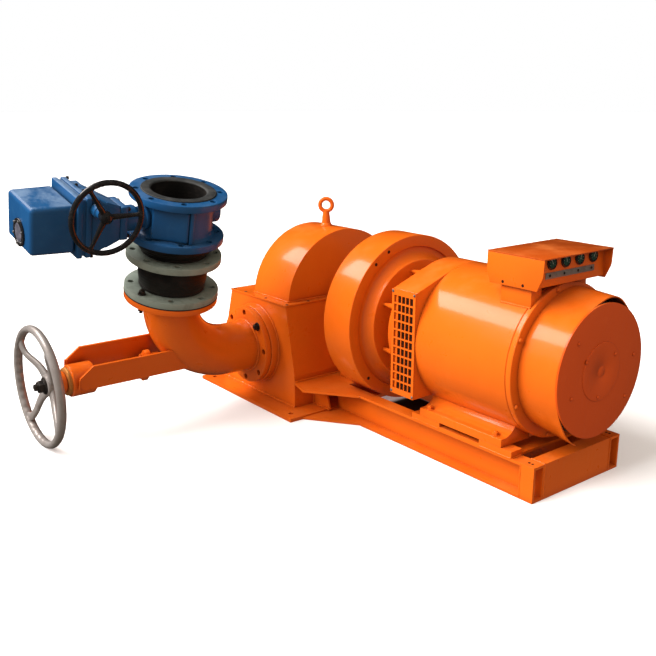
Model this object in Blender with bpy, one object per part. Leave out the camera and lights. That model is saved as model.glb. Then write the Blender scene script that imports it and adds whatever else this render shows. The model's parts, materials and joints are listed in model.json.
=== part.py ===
"""Small impulse water turbine with its generator, flywheel, inlet elbow and motor-driven valve.

Metres, +Z up. The origin lies on the ground, below the shaft and level with the middle of the
nozzle. +X runs along the shaft from the turbine to the generator, and the nozzle enters from -Y.
"""
from math import acos, asin, atan2, cos, hypot, pi, radians, sin

import bmesh
import bpy
from mathutils import Matrix, Vector

GAP = 0.0003              # between pieces that touch
RUNNING = 0.0008          # between a turning piece and its bearing
SHAFT_Z = 0.401           # height of the machine shaft
ROUND = 32                # sides of a large round piece
PIPE_SIDES = 24           # sides of the elbow pipe
SMALL = 8                 # sides of a bolt hole or pin

# Base frame: two channels that open outwards, with a deck at the turbine end
FRAME_END = 1.369
FRAME_HALF = 0.224
FRAME_H = 0.120
CHANNEL_DEPTH = 0.053
WEB = 0.008
FLANGE = 0.009
FLARE_START = 0.545
FLARE_TIP = (0.3588, 0.356)
DECK_END = 0.415
CROSS_X = (0.880, 1.232)
CROSS_HALF = 0.034
CORNER_W = 0.052
STUB_FOOT_X = 0.372
STUB_HEAD_X = 0.335
PAD_X = (0.831, 1.278)
PAD_SLOT_X = (0.964, 1.143)
PAD_SLOT_Z = 0.1275
PAD_TOP = 0.142
PAD_IN = 0.150

# Turbine housing
PLATE_X = (-0.318, 0.3585)
PLATE_HALF = 0.415
PLATE_T = 0.014
ANCHOR_X = (-0.269, 0.308)
ANCHOR_Y = 0.377
ANCHOR_R = 0.011
HOUSING_HALF = 0.327
HOUSING_FOOT = (-0.268, 0.265)
HOUSING_TOP = (-0.187, 0.212)
SHOULDER_Z = 0.144
LEDGE_Z = 0.417
LEDGE_T = 0.006
LEDGE_LIP = 0.003
HOOD_X = (-0.068, 0.177)
HOOD_R = 0.290
HOOD_STEPS = 28

# Lifting eye on the hood
EYE_X = 0.050
EYE_RING = 0.0255
EYE_BAR = 0.0085
EYE_NECK = 0.062
EYE_TURN = radians(-40)

# Nozzle line and inlet elbow
NOZZLE_Z = 0.2265
BORE_R = 0.100
ELBOW_BORE_R = 0.094
PIPE_R = 0.103
FLANGE_R = 0.172
FLANGE_EDGE = 0.002
BOLT_CIRCLE = 0.1475
BOLT_HOLE = 0.0115
BOLT_COUNT = 8
BOSS_T = 0.034
HOUSING_FLANGE_R = 0.161   # flange against the housing, smaller than the pipe's
HOUSING_CIRCLE = 0.137
ELBOW_FLANGE_T = 0.025
BEND_R = 0.276
BEND_STEPS = 8
LEG_Y = -0.7500
LEAN = radians(14.2)      # the inlet leg leans towards the generator
LEG_TOP = 0.303
ELBOW_PHASE = radians(17)

# Stack above the elbow, as distances along the leaning leg
LOWER_RING = (0.3035, 0.3285)
UPPER_RING = (0.4378, 0.4630)
RING_PHASE = radians(22)
RUBBER_NECK = 0.118
RUBBER_TOP = 0.5185
VALVE_SPAN = (0.5190, 0.6930)
VALVE_FLANGE = 0.025
VALVE_WAIST = 0.128
VALVE_PHASE = radians(24)
SEAT_T = 0.004
SEAT_R = 0.133
STEM_L = 0.606

# Valve drive, as distances out along the stem (s), towards the hand wheel (b) and up the leg (h)
NECK_S = (0.1283, 0.212)
PAD_S = 0.234
GEAR_B = (-0.160, 0.045)
GEAR_H = (-0.098, 0.090)
GEAR_END_S = 0.3400
COLLAR_S = (0.3403, 0.390)
COLLAR_B = (-0.174, 0.053)
COLLAR_H = (-0.108, 0.100)
COVER_S = (0.3903, 0.540)
COVER_B = (-0.171, 0.043)
COVER_H = (-0.091, 0.075)
COVER_DRAFT = 0.003
WINDOW_B = -0.054
WINDOW_H = -0.037
WINDOW_R = 0.047
WINDOW_T = 0.006
HAND_S = 0.3265
HAND_H = 0.061
HAND_B = 0.135
HAND_R = 0.1285
HAND_BAR = 0.0095
HAND_SPOKE = 32           # degrees
HAND_HUB = (0.030, 0.012)
ARBOR_R = 0.0130
ARBOR_BOSS_R = 0.022

# Spear yoke, which rolls a little further over than the inlet leg
YOKE_ROLL = radians(19.5)
GLAND_R = 0.042
GLAND_END = 0.870
GLAND_NOSE_R = 0.033
GLAND_EAR = (0.067, 0.026)
GLAND_EAR_S = (0.828, 0.846)
YOKE_IN = 0.060
YOKE_T = 0.008
YOKE_ENDS = (0.690, 1.125)
YOKE_H = (-0.004, 0.095)
YOKE_CUT = (0.046, 0.046)
SLEEVE_ENDS = (1.052, 1.142)
SLEEVE_R = 0.0595
BUSH_R = 0.052
BUSH_END = 1.154
SPEAR_R = 0.012

# Polished spear wheel; heights run outwards from the rim's plane
WHEEL_R = 0.222
WHEEL_BAR = 0.014
WHEEL_Y = -1.246
HUB_BACK = -0.054
HUB_FRONT = -0.020
HUB_R = 0.040
CARRIER_R = 0.040
WHEEL_SPOKE = 137         # degrees
SPOKES = 4
SPOKE_STEPS = 8
SPOKE_SWING = 0.06        # radians that a spoke bows out
SPOKE_CURL = 0.08         # radians of its S

# Flywheel and turbine shaft
FLY_X = (0.439, 0.589)
FLY_R = 0.316
FLY_STEP_R = 0.2725
FLY_BOSS_R = 0.228
FLY_BOSS_X = 0.622
FLY_RECESS = 0.045
FLY_HUB_R = 0.085
SHAFT_R = 0.035
BEARING_X = (0.300, 0.400)
BEARING_R = 0.080

# Generator
GEN_DRIVE = (0.754, 0.869)
GEN_BARREL = (0.8693, 1.283)
GEN_R = 0.257
SEAM_X = 1.2625
SEAM_HALF = 0.0015
SEAM_DEPTH = 0.002
BOX_Y = 0.2550
BOX_Z = (0.205, 0.581)
GRILLE_T = 0.0055
GRILLE_ROWS = 11
GRILLE_COLUMNS = 5
FOOT_X = (0.8693, 1.235)
FOOT_Z = 0.170
FOOT_IN = 0.085
FOOT_CURVE = ((0.196, 0.002), (0.182, 0.007), (0.170, 0.016), (0.161, 0.028), (0.1565, 0.042))
COWL_X = (1.2833, 1.4158)
COWL_R = 0.227
COWL_BULGE = 0.0225         # gap over the disc, centred at COWL_PEAK
COWL_PEAK = 75             # degrees from +Y towards the top
COWL_FLAP = 0.031          # loose corner at the near side of the open sector
COWL_CORNER = 250
COWL_T = 0.004
COWL_TIGHT = 0.2165
COWL_OPEN = 22            # half of the open sector at the bottom, degrees
SCREEN_R = 0.2105
DISC_X = (1.4163, 1.4234)
DISC_R = 0.2155
DISC_COVER_R = 0.094
COUPLING_X = (0.692, 0.728)
COUPLING_R = 0.222
COUPLING_HUB_R = 0.075
PIN_COUNT = 7
PIN_CIRCLE = 0.196
PIN_RADII = (0.0065, 0.0125)
GEN_SHAFT_R = 0.030
GEN_SHAFT_IN = 0.020

# Terminal box
TERM_X = (1.101, 1.3235)
TERM_Y = (-0.181, 0.163)
TERM_TOP = 0.755
TERM_LOW = 0.6545
TERM_BASE = 0.661
TERM_PANEL_X = (1.297, 1.290)
CHEEK_T = 0.004
TERM_NECK_X = (1.118, 1.236)
TERM_NECK_Y = (-0.125, 0.155)
LID_T = 0.004


def clear_scene():
    """Start from an empty scene."""
    for obj in list(bpy.data.objects):
        bpy.data.objects.remove(obj, do_unlink=True)


def paint(name, colour, roughness, metallic=0.0):
    """A plain Principled material."""
    material = bpy.data.materials.new(name)
    material.use_nodes = True
    shader = material.node_tree.nodes["Principled BSDF"]
    shader.inputs["Base Color"].default_value = (*colour, 1.0)
    shader.inputs["Roughness"].default_value = roughness
    shader.inputs["Metallic"].default_value = metallic
    return material


def make_palette():
    """The finishes of the machine."""
    return {
        "orange": paint("orange_paint", (0.83, 0.20, 0.02), 0.30),
        "blue": paint("blue_paint", (0.03, 0.13, 0.33), 0.40),
        "grey": paint("grey_paint", (0.25, 0.31, 0.30), 0.50),
        "rubber": paint("black_rubber", (0.02, 0.02, 0.02), 0.60),
        "liner": paint("seat_rubber", (0.10, 0.10, 0.10), 0.60),
        "black": paint("black_enamel", (0.015, 0.015, 0.015), 0.30),
        "polished": paint("polished_iron", (0.65, 0.62, 0.60), 0.25, 1.0),
        "steel": paint("dark_steel", (0.10, 0.10, 0.10), 0.45, 1.0),
        "brass": paint("brass", (0.45, 0.30, 0.10), 0.40, 1.0),
    }


def basis(origin, x_axis, y_axis, z_axis):
    """A matrix that carries local coordinates to the given axes."""
    axes = Matrix((x_axis, y_axis, z_axis)).transposed().to_4x4()
    return Matrix.Translation(origin) @ axes


LEG_X = Vector((cos(LEAN), 0, -sin(LEAN)))
LEG_Z = Vector((sin(LEAN), 0, cos(LEAN)))
LEG_FOOT = Vector((0, LEG_Y, NOZZLE_Z))
OUTWARD = Vector((0, -1, 0))
SHAFT = basis((0, 0, SHAFT_Z), (0, 1, 0), (0, 0, 1), (1, 0, 0))
LEG = basis(LEG_FOOT, LEG_X, (0, 1, 0), LEG_Z)
YOKE_X = Vector((cos(YOKE_ROLL), 0, -sin(YOKE_ROLL)))
YOKE_Z = Vector((sin(YOKE_ROLL), 0, cos(YOKE_ROLL)))
NOZZLE = basis((0, 0, NOZZLE_Z), YOKE_X, YOKE_Z, OUTWARD)
DRIVE = basis(LEG_FOOT + LEG_Z * STEM_L, OUTWARD, LEG_X, LEG_Z)
SIDEWAYS = basis((0, 0, 0), (0, 1, 0), (0, 0, 1), (1, 0, 0))
HANDWAYS = basis((0, 0, 0), (0, 0, 1), (1, 0, 0), (0, 1, 0))


def finish(name, bm, material, smooth=False):
    """Turn a bmesh into a named object with outward faces."""
    bmesh.ops.remove_doubles(bm, verts=bm.verts, dist=1e-6)
    bmesh.ops.recalc_face_normals(bm, faces=bm.faces)
    mesh = bpy.data.meshes.new(name)
    bm.to_mesh(mesh)
    bm.free()
    if smooth:
        mesh.shade_smooth()
        mesh.set_sharp_from_angle(angle=radians(35))
    obj = bpy.data.objects.new(name, mesh)
    bpy.context.collection.objects.link(obj)
    mesh.materials.append(material)
    return obj


def shape_with(target, bm, operation, label):
    """Cut a bmesh out of an object, or weld it on, with a live Boolean."""
    tool = finish(f"{target.name}_{label}", bm, target.data.materials[0], smooth=True)
    tool.hide_render = True
    tool.display_type = "WIRE"
    modifier = target.modifiers.new(label, "BOOLEAN")
    modifier.operation = operation
    modifier.object = tool
    return tool


def block(low, high, chamfer=0.0):
    """A box between two corners, with its edges cut if asked."""
    bm = bmesh.new()
    size = [b - a for a, b in zip(low, high)]
    middle = [(a + b) / 2 for a, b in zip(low, high)]
    bmesh.ops.create_cube(bm, size=1.0)
    bmesh.ops.scale(bm, vec=size, verts=bm.verts)
    bmesh.ops.translate(bm, vec=middle, verts=bm.verts)
    if chamfer:
        bmesh.ops.bevel(bm, geom=bm.edges[:], offset=chamfer, segments=1, profile=0.5,
                        affect="EDGES", clamp_overlap=True)
    return bm


def prism(outline, axis, start, end):
    """Extrude an outline along X, Y or Z; the outline gives the other two coordinates in order."""
    bm = bmesh.new()

    def place(point, depth):
        u, v = point
        return {"x": (depth, u, v), "y": (u, depth, v), "z": (u, v, depth)}[axis]

    face = bm.faces.new([bm.verts.new(place(point, start)) for point in outline])
    grown = bmesh.ops.extrude_face_region(bm, geom=[face])
    moved = [item for item in grown["geom"] if isinstance(item, bmesh.types.BMVert)]
    shift = Vector(place((0, 0), end)) - Vector(place((0, 0), start))
    bmesh.ops.translate(bm, vec=shift, verts=moved)
    return bm


def turn(profile, frame, sides=ROUND, phase=0.0):
    """Spin a (radius, height) profile about the frame's z axis; one that leaves the axis closes."""
    bm = bmesh.new()
    verts = [bm.verts.new((r * cos(phase), r * sin(phase), h)) for r, h in profile]
    pairs = list(zip(verts, verts[1:]))
    if profile[0][0] > 0:
        pairs.append((verts[-1], verts[0]))
    edges = [bm.edges.new(pair) for pair in pairs]
    bmesh.ops.spin(bm, geom=verts + edges, cent=(0, 0, 0), axis=(0, 0, 1), angle=2 * pi,
                   steps=sides, use_merge=True)
    bmesh.ops.remove_doubles(bm, verts=bm.verts, dist=1e-6)
    bm.transform(frame)
    return bm


def rod(radius, low, high, frame, sides=SMALL, phase=0.0):
    """A round bar along the frame's z axis."""
    return turn([(0, low), (radius, low), (radius, high), (0, high)], frame, sides, phase)


def ring_bar(radius, bar, frame, sides, around=8, stretch=1.0):
    """A round bar bent into a full circle."""
    section = [(radius + bar * cos(2 * pi * k / around), stretch * bar * sin(2 * pi * k / around))
               for k in range(around)]
    return turn(section, frame, sides)


def add_shell(target, source):
    """Copy one bmesh into another as a shell of its own."""
    links = {v: target.verts.new(v.co) for v in source.verts}
    for face in source.faces:
        target.faces.new([links[v] for v in face.verts])
    source.free()


def bolt_holes(low, high, frame, phase, circle=BOLT_CIRCLE):
    """Round cutters on the flange bolt circle."""
    bm = bmesh.new()
    for step in range(BOLT_COUNT):
        angle = phase + 2 * pi * step / BOLT_COUNT
        spot = Matrix.Translation((circle * cos(angle), circle * sin(angle), 0))
        add_shell(bm, rod(BOLT_HOLE, low, high, frame @ spot))
    return bm


def flange_profile(radius, low, high, bore):
    """Ring section with a small outer chamfer."""
    edge = FLANGE_EDGE
    return [(bore, low), (radius - edge, low), (radius, low + edge), (radius, high - edge),
            (radius - edge, high), (bore, high)]


def skin(loops, capped=True):
    """Join equal vertex loops into a tube."""
    bm = bmesh.new()
    rings = [[bm.verts.new(point) for point in loop] for loop in loops]
    edges = []
    for ring in rings:
        edges.append([bm.edges.new((a, b)) for a, b in zip(ring, ring[1:] + ring[:1])])
    for here, there in zip(edges, edges[1:]):
        bmesh.ops.bridge_loops(bm, edges=here + there)
    if capped:
        bm.faces.new(rings[0])
        bm.faces.new(rings[-1])
    return bm


def build_frame(palette):
    """Rails with their gussets and pads, deck, stubs, end channel and cross members."""
    orange = palette["orange"]
    for side, sign in (("near", -1), ("far", 1)):
        build_rail(side, sign, orange)
        build_stub(side, sign, orange)
    build_deck(orange)
    inner = FRAME_HALF - CHANNEL_DEPTH - GAP
    back = FRAME_END - CHANNEL_DEPTH
    end_section = [(FRAME_END, 0), (FRAME_END, FRAME_H), (back, FRAME_H),
                   (back, FRAME_H - FLANGE), (FRAME_END - WEB, FRAME_H - FLANGE),
                   (FRAME_END - WEB, FLANGE), (back, FLANGE), (back, 0)]
    finish("frame_end_channel", prism(end_section, "y", -inner, inner), orange)
    for name, middle in (("front", CROSS_X[0]), ("rear", CROSS_X[1])):
        left, right = middle - CROSS_HALF, middle + CROSS_HALF
        section = [(left, 0), (right, 0), (right, FLANGE), (left + WEB, FLANGE),
                   (left + WEB, FRAME_H - FLANGE), (right, FRAME_H - FLANGE), (right, FRAME_H),
                   (left, FRAME_H)]
        finish(f"frame_cross_{name}", prism(section, "y", -inner, inner), orange)


def build_rail(side, sign, material):
    """Channel that opens outwards, with the bottom gusset and the generator's pad welded on."""
    outer = sign * FRAME_HALF
    back = sign * (FRAME_HALF - CHANNEL_DEPTH)
    face = back + sign * WEB
    section = [(outer, 0), (back, 0), (back, FRAME_H), (outer, FRAME_H),
               (outer, FRAME_H - FLANGE), (face, FRAME_H - FLANGE), (face, FLANGE),
               (outer, FLANGE)]
    rail = finish(f"frame_rail_{side}", prism(section, "x", FLARE_TIP[0], FRAME_END), material)
    inset = sign * 0.012
    gusset = [(FLARE_TIP[0], outer - inset), (FLARE_START, outer - inset), (FLARE_START, outer),
              (FLARE_TIP[0], sign * FLARE_TIP[1])]
    shape_with(rail, prism(gusset, "z", 0, FLANGE), "UNION", "gusset")
    bed = FRAME_H - 0.004
    pad = [(PAD_X[0], bed), (PAD_X[1], bed), (PAD_X[1], PAD_TOP), (PAD_SLOT_X[1], PAD_TOP),
           (PAD_SLOT_X[1], PAD_SLOT_Z), (PAD_SLOT_X[0], PAD_SLOT_Z), (PAD_SLOT_X[0], PAD_TOP),
           (PAD_X[0], PAD_TOP)]
    low, high = sorted((outer, sign * max(PAD_IN, abs(back) + 0.0005)))
    shape_with(rail, prism(pad, "y", low, high), "UNION", "pad")
    low, high = sorted((outer, outer - sign * WEB))
    corner = block((FRAME_END - CORNER_W, low, FLANGE / 2),
                   (FRAME_END, high, FRAME_H - FLANGE / 2))
    shape_with(rail, corner, "UNION", "corner")


def build_stub(side, sign, material):
    """Upright plate that closes the flare beside the turbine housing."""
    wall = HOUSING_FOOT[1] + GAP
    low, high = PLATE_T + GAP, FRAME_H - FLANGE - GAP
    outline = [(wall, low), (STUB_FOOT_X, low), (STUB_HEAD_X, high), (wall, high)]
    near, far = sign * (FRAME_HALF + GAP), sign * (FRAME_HALF + WEB)
    finish(f"frame_stub_{side}", prism(outline, "y", near, far), material)


def build_deck(material):
    """Flared top plate from the housing out over the ends of the rails."""
    wall = HOUSING_FOOT[1] + GAP
    rail_start = FLARE_TIP[0] - GAP
    rim = FRAME_HALF + GAP
    inner = FRAME_HALF - CHANNEL_DEPTH - GAP
    half = [(wall, HOUSING_HALF), (FLARE_TIP[0], FLARE_TIP[1]), (FLARE_START, rim),
            (rail_start, rim), (rail_start, inner), (DECK_END, inner)]
    outline = [(x, -y) for x, y in half] + [(x, y) for x, y in reversed(half)]
    finish("frame_deck", prism(outline, "z", FRAME_H - FLANGE, FRAME_H), material)


def build_housing(palette):
    """Base plate, housing, ledge, hood and lifting eye."""
    orange = palette["orange"]
    plate = finish("turbine_base_plate",
                   block((PLATE_X[0], -PLATE_HALF, 0), (PLATE_X[1], PLATE_HALF, PLATE_T)), orange)
    holes = bmesh.new()
    for x in ANCHOR_X:
        for y in (-ANCHOR_Y, ANCHOR_Y):
            add_shell(holes, rod(ANCHOR_R, -PLATE_T, 2 * PLATE_T, Matrix.Translation((x, y, 0))))
    shape_with(plate, holes, "DIFFERENCE", "anchor_holes")
    low = PLATE_T + GAP
    outline = [(HOUSING_FOOT[0], low), (HOUSING_FOOT[1], low), (HOUSING_FOOT[1], SHOULDER_Z),
               (HOUSING_TOP[1], LEDGE_Z), (HOUSING_TOP[0], LEDGE_Z),
               (HOUSING_FOOT[0], SHOULDER_Z)]
    finish("turbine_housing", prism(outline, "y", -HOUSING_HALF, HOUSING_HALF), orange)
    reach = HOUSING_HALF + LEDGE_LIP
    ledge = block((HOUSING_TOP[0] - LEDGE_LIP, -reach, LEDGE_Z + GAP),
                  (HOUSING_TOP[1] + LEDGE_LIP, reach, LEDGE_Z + LEDGE_T))
    finish("housing_ledge", ledge, orange)
    seat = LEDGE_Z + LEDGE_T + GAP - SHAFT_Z
    start = asin(seat / HOOD_R)
    arc = []
    for i in range(HOOD_STEPS + 1):
        angle = start + (pi - 2 * start) * i / HOOD_STEPS
        arc.append((HOOD_R * cos(angle), SHAFT_Z + HOOD_R * sin(angle)))
    finish("turbine_hood", prism(arc, "x", *HOOD_X), orange, smooth=True)
    build_eye(orange)


def build_eye(material):
    """Forged lifting eye on a tapered neck."""
    foot = SHAFT_Z + HOOD_R + GAP
    neck = turn([(0, 0), (0.024, 0), (0.023, 0.006), (0.0165, 0.034), (0.0125, EYE_NECK),
                 (0, EYE_NECK)], Matrix.Translation((EYE_X, 0, foot)), 16)
    eye = finish("lifting_eye", neck, material, smooth=True)
    facing = Vector((cos(EYE_TURN), sin(EYE_TURN), 0))
    up = Vector((0, 0, 1))
    centre = (EYE_X, 0, foot + EYE_NECK + EYE_RING - 0.002)
    loop = ring_bar(EYE_RING, EYE_BAR, basis(centre, up, facing.cross(up), facing), 20)
    shape_with(eye, loop, "UNION", "ring")


def elbow_stations():
    """Centre line from the housing out along -Y and up the leg, with unit tangents."""
    start = HOUSING_HALF + BOSS_T + 0.006
    stations = [(Vector((0, -start, NOZZLE_Z)), OUTWARD)]
    centre = LEG_FOOT - OUTWARD * BEND_R + LEG_Z * BEND_R
    for i in range(BEND_STEPS + 1):
        angle = (pi / 2) * i / BEND_STEPS
        point = centre - LEG_Z * (BEND_R * cos(angle)) + OUTWARD * (BEND_R * sin(angle))
        stations.append((point, OUTWARD * cos(angle) + LEG_Z * sin(angle)))
    stations.append((LEG_FOOT + LEG_Z * (LEG_TOP - 0.006), LEG_Z))
    return stations


def elbow_loops(radius, extra=0.0):
    """Rings of points round the elbow's centre line; extra lengthens both ends."""
    loops = []
    stations = elbow_stations()
    for index, (point, tangent) in enumerate(stations):
        if index == 0:
            point = point - tangent * extra
        if index == len(stations) - 1:
            point = point + tangent * extra
        up = LEG_X.cross(tangent)
        loops.append([point + LEG_X * (radius * cos(2 * pi * k / PIPE_SIDES))
                      + up * (radius * sin(2 * pi * k / PIPE_SIDES)) for k in range(PIPE_SIDES)])
    return loops


def build_elbow(palette):
    """Housing boss, and the hollow elbow with a welded flange at each end."""
    orange = palette["orange"]
    face_on = basis((0, -HOUSING_HALF - GAP, NOZZLE_Z), (1, 0, 0), (0, 0, 1), OUTWARD)
    edge = 2 * FLANGE_EDGE
    wide = HOUSING_FLANGE_R
    boss = turn([(0, 0), (wide, 0), (wide, BOSS_T - edge), (wide - edge, BOSS_T), (0, BOSS_T)],
                face_on)
    finish("housing_inlet_boss", boss, orange, smooth=True)
    elbow = finish("inlet_elbow", skin(elbow_loops(PIPE_R)), orange, smooth=True)
    low = BOSS_T + 2 * GAP
    high = low + ELBOW_FLANGE_T
    shape_with(elbow, turn(flange_profile(wide - edge, low, high, 0), face_on),
               "UNION", "housing_flange")
    top = LEG_TOP - ELBOW_FLANGE_T
    shape_with(elbow, turn(flange_profile(FLANGE_R, top, LEG_TOP, 0), LEG),
               "UNION", "top_flange")
    shape_with(elbow, skin(elbow_loops(ELBOW_BORE_R, 0.02)), "DIFFERENCE", "bore")
    shape_with(elbow, bolt_holes(low - 0.01, high + 0.01, face_on, 0, HOUSING_CIRCLE),
               "DIFFERENCE", "housing_bolts")
    shape_with(elbow, bolt_holes(top - 0.01, LEG_TOP + 0.01, LEG, ELBOW_PHASE),
               "DIFFERENCE", "top_bolts")


def build_stack(palette):
    """Rubber joint with two loose grey rings."""
    for name, (low, high), phase in (("lower", LOWER_RING, ELBOW_PHASE),
                                     ("upper", UPPER_RING, RING_PHASE)):
        ring = turn(flange_profile(FLANGE_R, low, high, RUBBER_NECK + 0.0004), LEG)
        obj = finish(f"joint_ring_{name}", ring, palette["grey"], smooth=True)
        shape_with(obj, bolt_holes(low - 0.01, high + 0.01, LEG, phase), "DIFFERENCE", "bolts")
    low = LEG_TOP + GAP
    neck = RUBBER_NECK
    profile = [(BORE_R, low), (neck, low), (neck, LOWER_RING[1] + 0.004),
               (neck + 0.005, LOWER_RING[1] + 0.030), (neck + 0.0085, 0.385),
               (neck + 0.0075, 0.420), (neck, UPPER_RING[0] - 0.004),
               (neck, UPPER_RING[1] + 0.010), (neck + 0.014, UPPER_RING[1] + 0.024),
               (neck + 0.020, RUBBER_TOP - 0.014), (neck + 0.017, RUBBER_TOP),
               (BORE_R, RUBBER_TOP)]
    finish("rubber_joint", turn(profile, LEG, 32), palette["rubber"], smooth=True)


def build_valve(palette):
    """Valve body with its two flanges, seat ring and closed disc."""
    low, high = VALVE_SPAN
    edge = FLANGE_EDGE
    thick = VALVE_FLANGE
    neck = high - thick - GAP
    profile = [(BORE_R, low), (FLANGE_R - edge, low), (FLANGE_R, low + edge),
               (FLANGE_R, low + thick - edge), (FLANGE_R - edge, low + thick),
               (VALVE_WAIST, low + thick), (VALVE_WAIST, neck), (BORE_R, neck)]
    body = finish("valve_body", turn(profile, LEG), palette["blue"], smooth=True)
    holes = bolt_holes(low - 0.01, low + thick + 0.008, LEG, VALVE_PHASE)
    shape_with(body, holes, "DIFFERENCE", "bolts")
    top = turn(flange_profile(FLANGE_R, high - thick, high, BORE_R), LEG)
    flange = finish("valve_top_flange", top, palette["blue"], smooth=True)
    holes = bolt_holes(high - thick - 0.008, high + 0.01, LEG, VALVE_PHASE)
    shape_with(flange, holes, "DIFFERENCE", "bolts")
    face = high + GAP
    seat = turn([(BORE_R, face), (SEAT_R, face), (SEAT_R - 0.004, face + SEAT_T),
                 (BORE_R + 0.003, face + SEAT_T)], LEG)
    finish("valve_seat_ring", seat, palette["liner"], smooth=True)
    rim = BORE_R * cos(pi / ROUND) - GAP
    disc = turn([(0, STEM_L - 0.018), (0.060, STEM_L - 0.014), (rim, STEM_L - 0.006),
                 (rim, STEM_L + 0.006), (0.060, STEM_L + 0.014), (0, STEM_L + 0.018)], LEG)
    finish("valve_disc", disc, palette["steel"], smooth=True)


def tapered_box(s0, first, s1, last, chamfer, segments=2):
    """A box along the stem whose ends have their own (b low, b high, h low, h high)."""
    loops = []
    for s, (b0, b1, h0, h1) in ((s0, first), (s1, last)):
        loops.append([Vector(p) for p in ((s, b0, h0), (s, b1, h0), (s, b1, h1), (s, b0, h1))])
    bm = skin(loops)
    bmesh.ops.bevel(bm, geom=bm.edges[:], offset=chamfer, segments=segments, profile=0.5,
                    affect="EDGES", clamp_overlap=True)
    bm.transform(DRIVE)
    return bm


def build_drive(palette):
    """Gear case on the valve's stem, collar and cover of the motor drive."""
    blue = palette["blue"]
    b0, b1 = GEAR_B
    h0, h1 = GEAR_H
    gear = tapered_box(PAD_S - 0.004, (-0.052, 0.046, -0.056, 0.056), GEAR_END_S,
                       (b0, b1, h0, h1), 0.008)
    case = finish("gear_case", gear, blue, smooth=True)
    pad = tapered_box(NECK_S[1] - 0.002, (-0.058, 0.052, -0.058, 0.060), PAD_S,
                      (-0.058, 0.052, -0.058, 0.060), 0.003, 1)
    shape_with(case, pad, "UNION", "pad")
    neck = turn([(0, NECK_S[0]), (0.036, NECK_S[0]), (0.036, 0.158), (0.045, 0.164),
                 (0.045, NECK_S[1] + 0.004), (0, NECK_S[1] + 0.004)], DRIVE @ SIDEWAYS, 20)
    shape_with(case, neck, "UNION", "neck")
    arbor = DRIVE @ Matrix.Translation((HAND_S, 0, HAND_H)) @ HANDWAYS
    step = COLLAR_B[1] + GAP
    boss = turn([(0, 0), (ARBOR_R, 0), (ARBOR_R, step), (ARBOR_BOSS_R, step),
                 (ARBOR_BOSS_R, HAND_B - HAND_HUB[0] - GAP), (0, HAND_B - HAND_HUB[0] - GAP)],
                arbor, 20)
    shape_with(case, boss, "UNION", "arbor_boss")
    around = (*COLLAR_B, *COLLAR_H)
    finish("drive_collar", tapered_box(COLLAR_S[0], around, COLLAR_S[1], around, 0.006), blue,
           smooth=True)
    b0, b1 = COVER_B
    h0, h1 = COVER_H
    draft = COVER_DRAFT
    cover = tapered_box(COVER_S[0], (b0, b1, h0, h1), COVER_S[1],
                        (b0 + draft, b1 - draft, h0 + draft, h1 - draft), 0.014, 3)
    finish("drive_cover", cover, blue, smooth=True)
    facing = DRIVE @ Matrix.Translation((COVER_S[1] + GAP, WINDOW_B, WINDOW_H)) @ SIDEWAYS
    inner = WINDOW_R * 0.72
    window = turn([(0, 0), (WINDOW_R, 0), (WINDOW_R, WINDOW_T - 0.001),
                   (WINDOW_R - 0.001, WINDOW_T), (inner, WINDOW_T), (inner, WINDOW_T - 0.002),
                   (0, WINDOW_T - 0.002)], facing, 32)
    finish("drive_window", window, palette["black"], smooth=True)
    build_hand_wheel(palette)


def build_hand_wheel(palette):
    """Black three-spoke wheel on a short arbor at the side of the gear case."""
    pivot = bpy.data.objects.new("hand_wheel_pivot", None)
    pivot.matrix_world = DRIVE @ Matrix.Translation((HAND_S, HAND_B, HAND_H)) @ HANDWAYS
    bpy.context.collection.objects.link(pivot)
    here = Matrix.Identity(4)
    middle = HAND_R - HAND_BAR
    wheel = finish("hand_wheel", ring_bar(middle, HAND_BAR, here, 36, 6), palette["black"],
                   smooth=True)
    parts = [("hub", rod(0.020, -HAND_HUB[0], HAND_HUB[1], here, 16))]
    for k in range(3):
        parts.append((f"spoke_{k}", spoke_bar(radians(HAND_SPOKE + 120 * k), 0.010, middle,
                                              0.0075)))
    for label, bm in parts:
        shape_with(wheel, bm, "UNION", label).parent = pivot
    wheel.parent = pivot


def spoke_bar(angle, inner, outer, radius):
    """A round bar that runs out from the z axis at an angle."""
    direction = Vector((cos(angle), sin(angle), 0))
    side = Vector((0, 0, 1)).cross(direction)
    spot = basis(direction * inner, side, (0, 0, 1), side.cross(Vector((0, 0, 1))))
    return rod(radius, 0, outer - inner, spot, 8)


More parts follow.
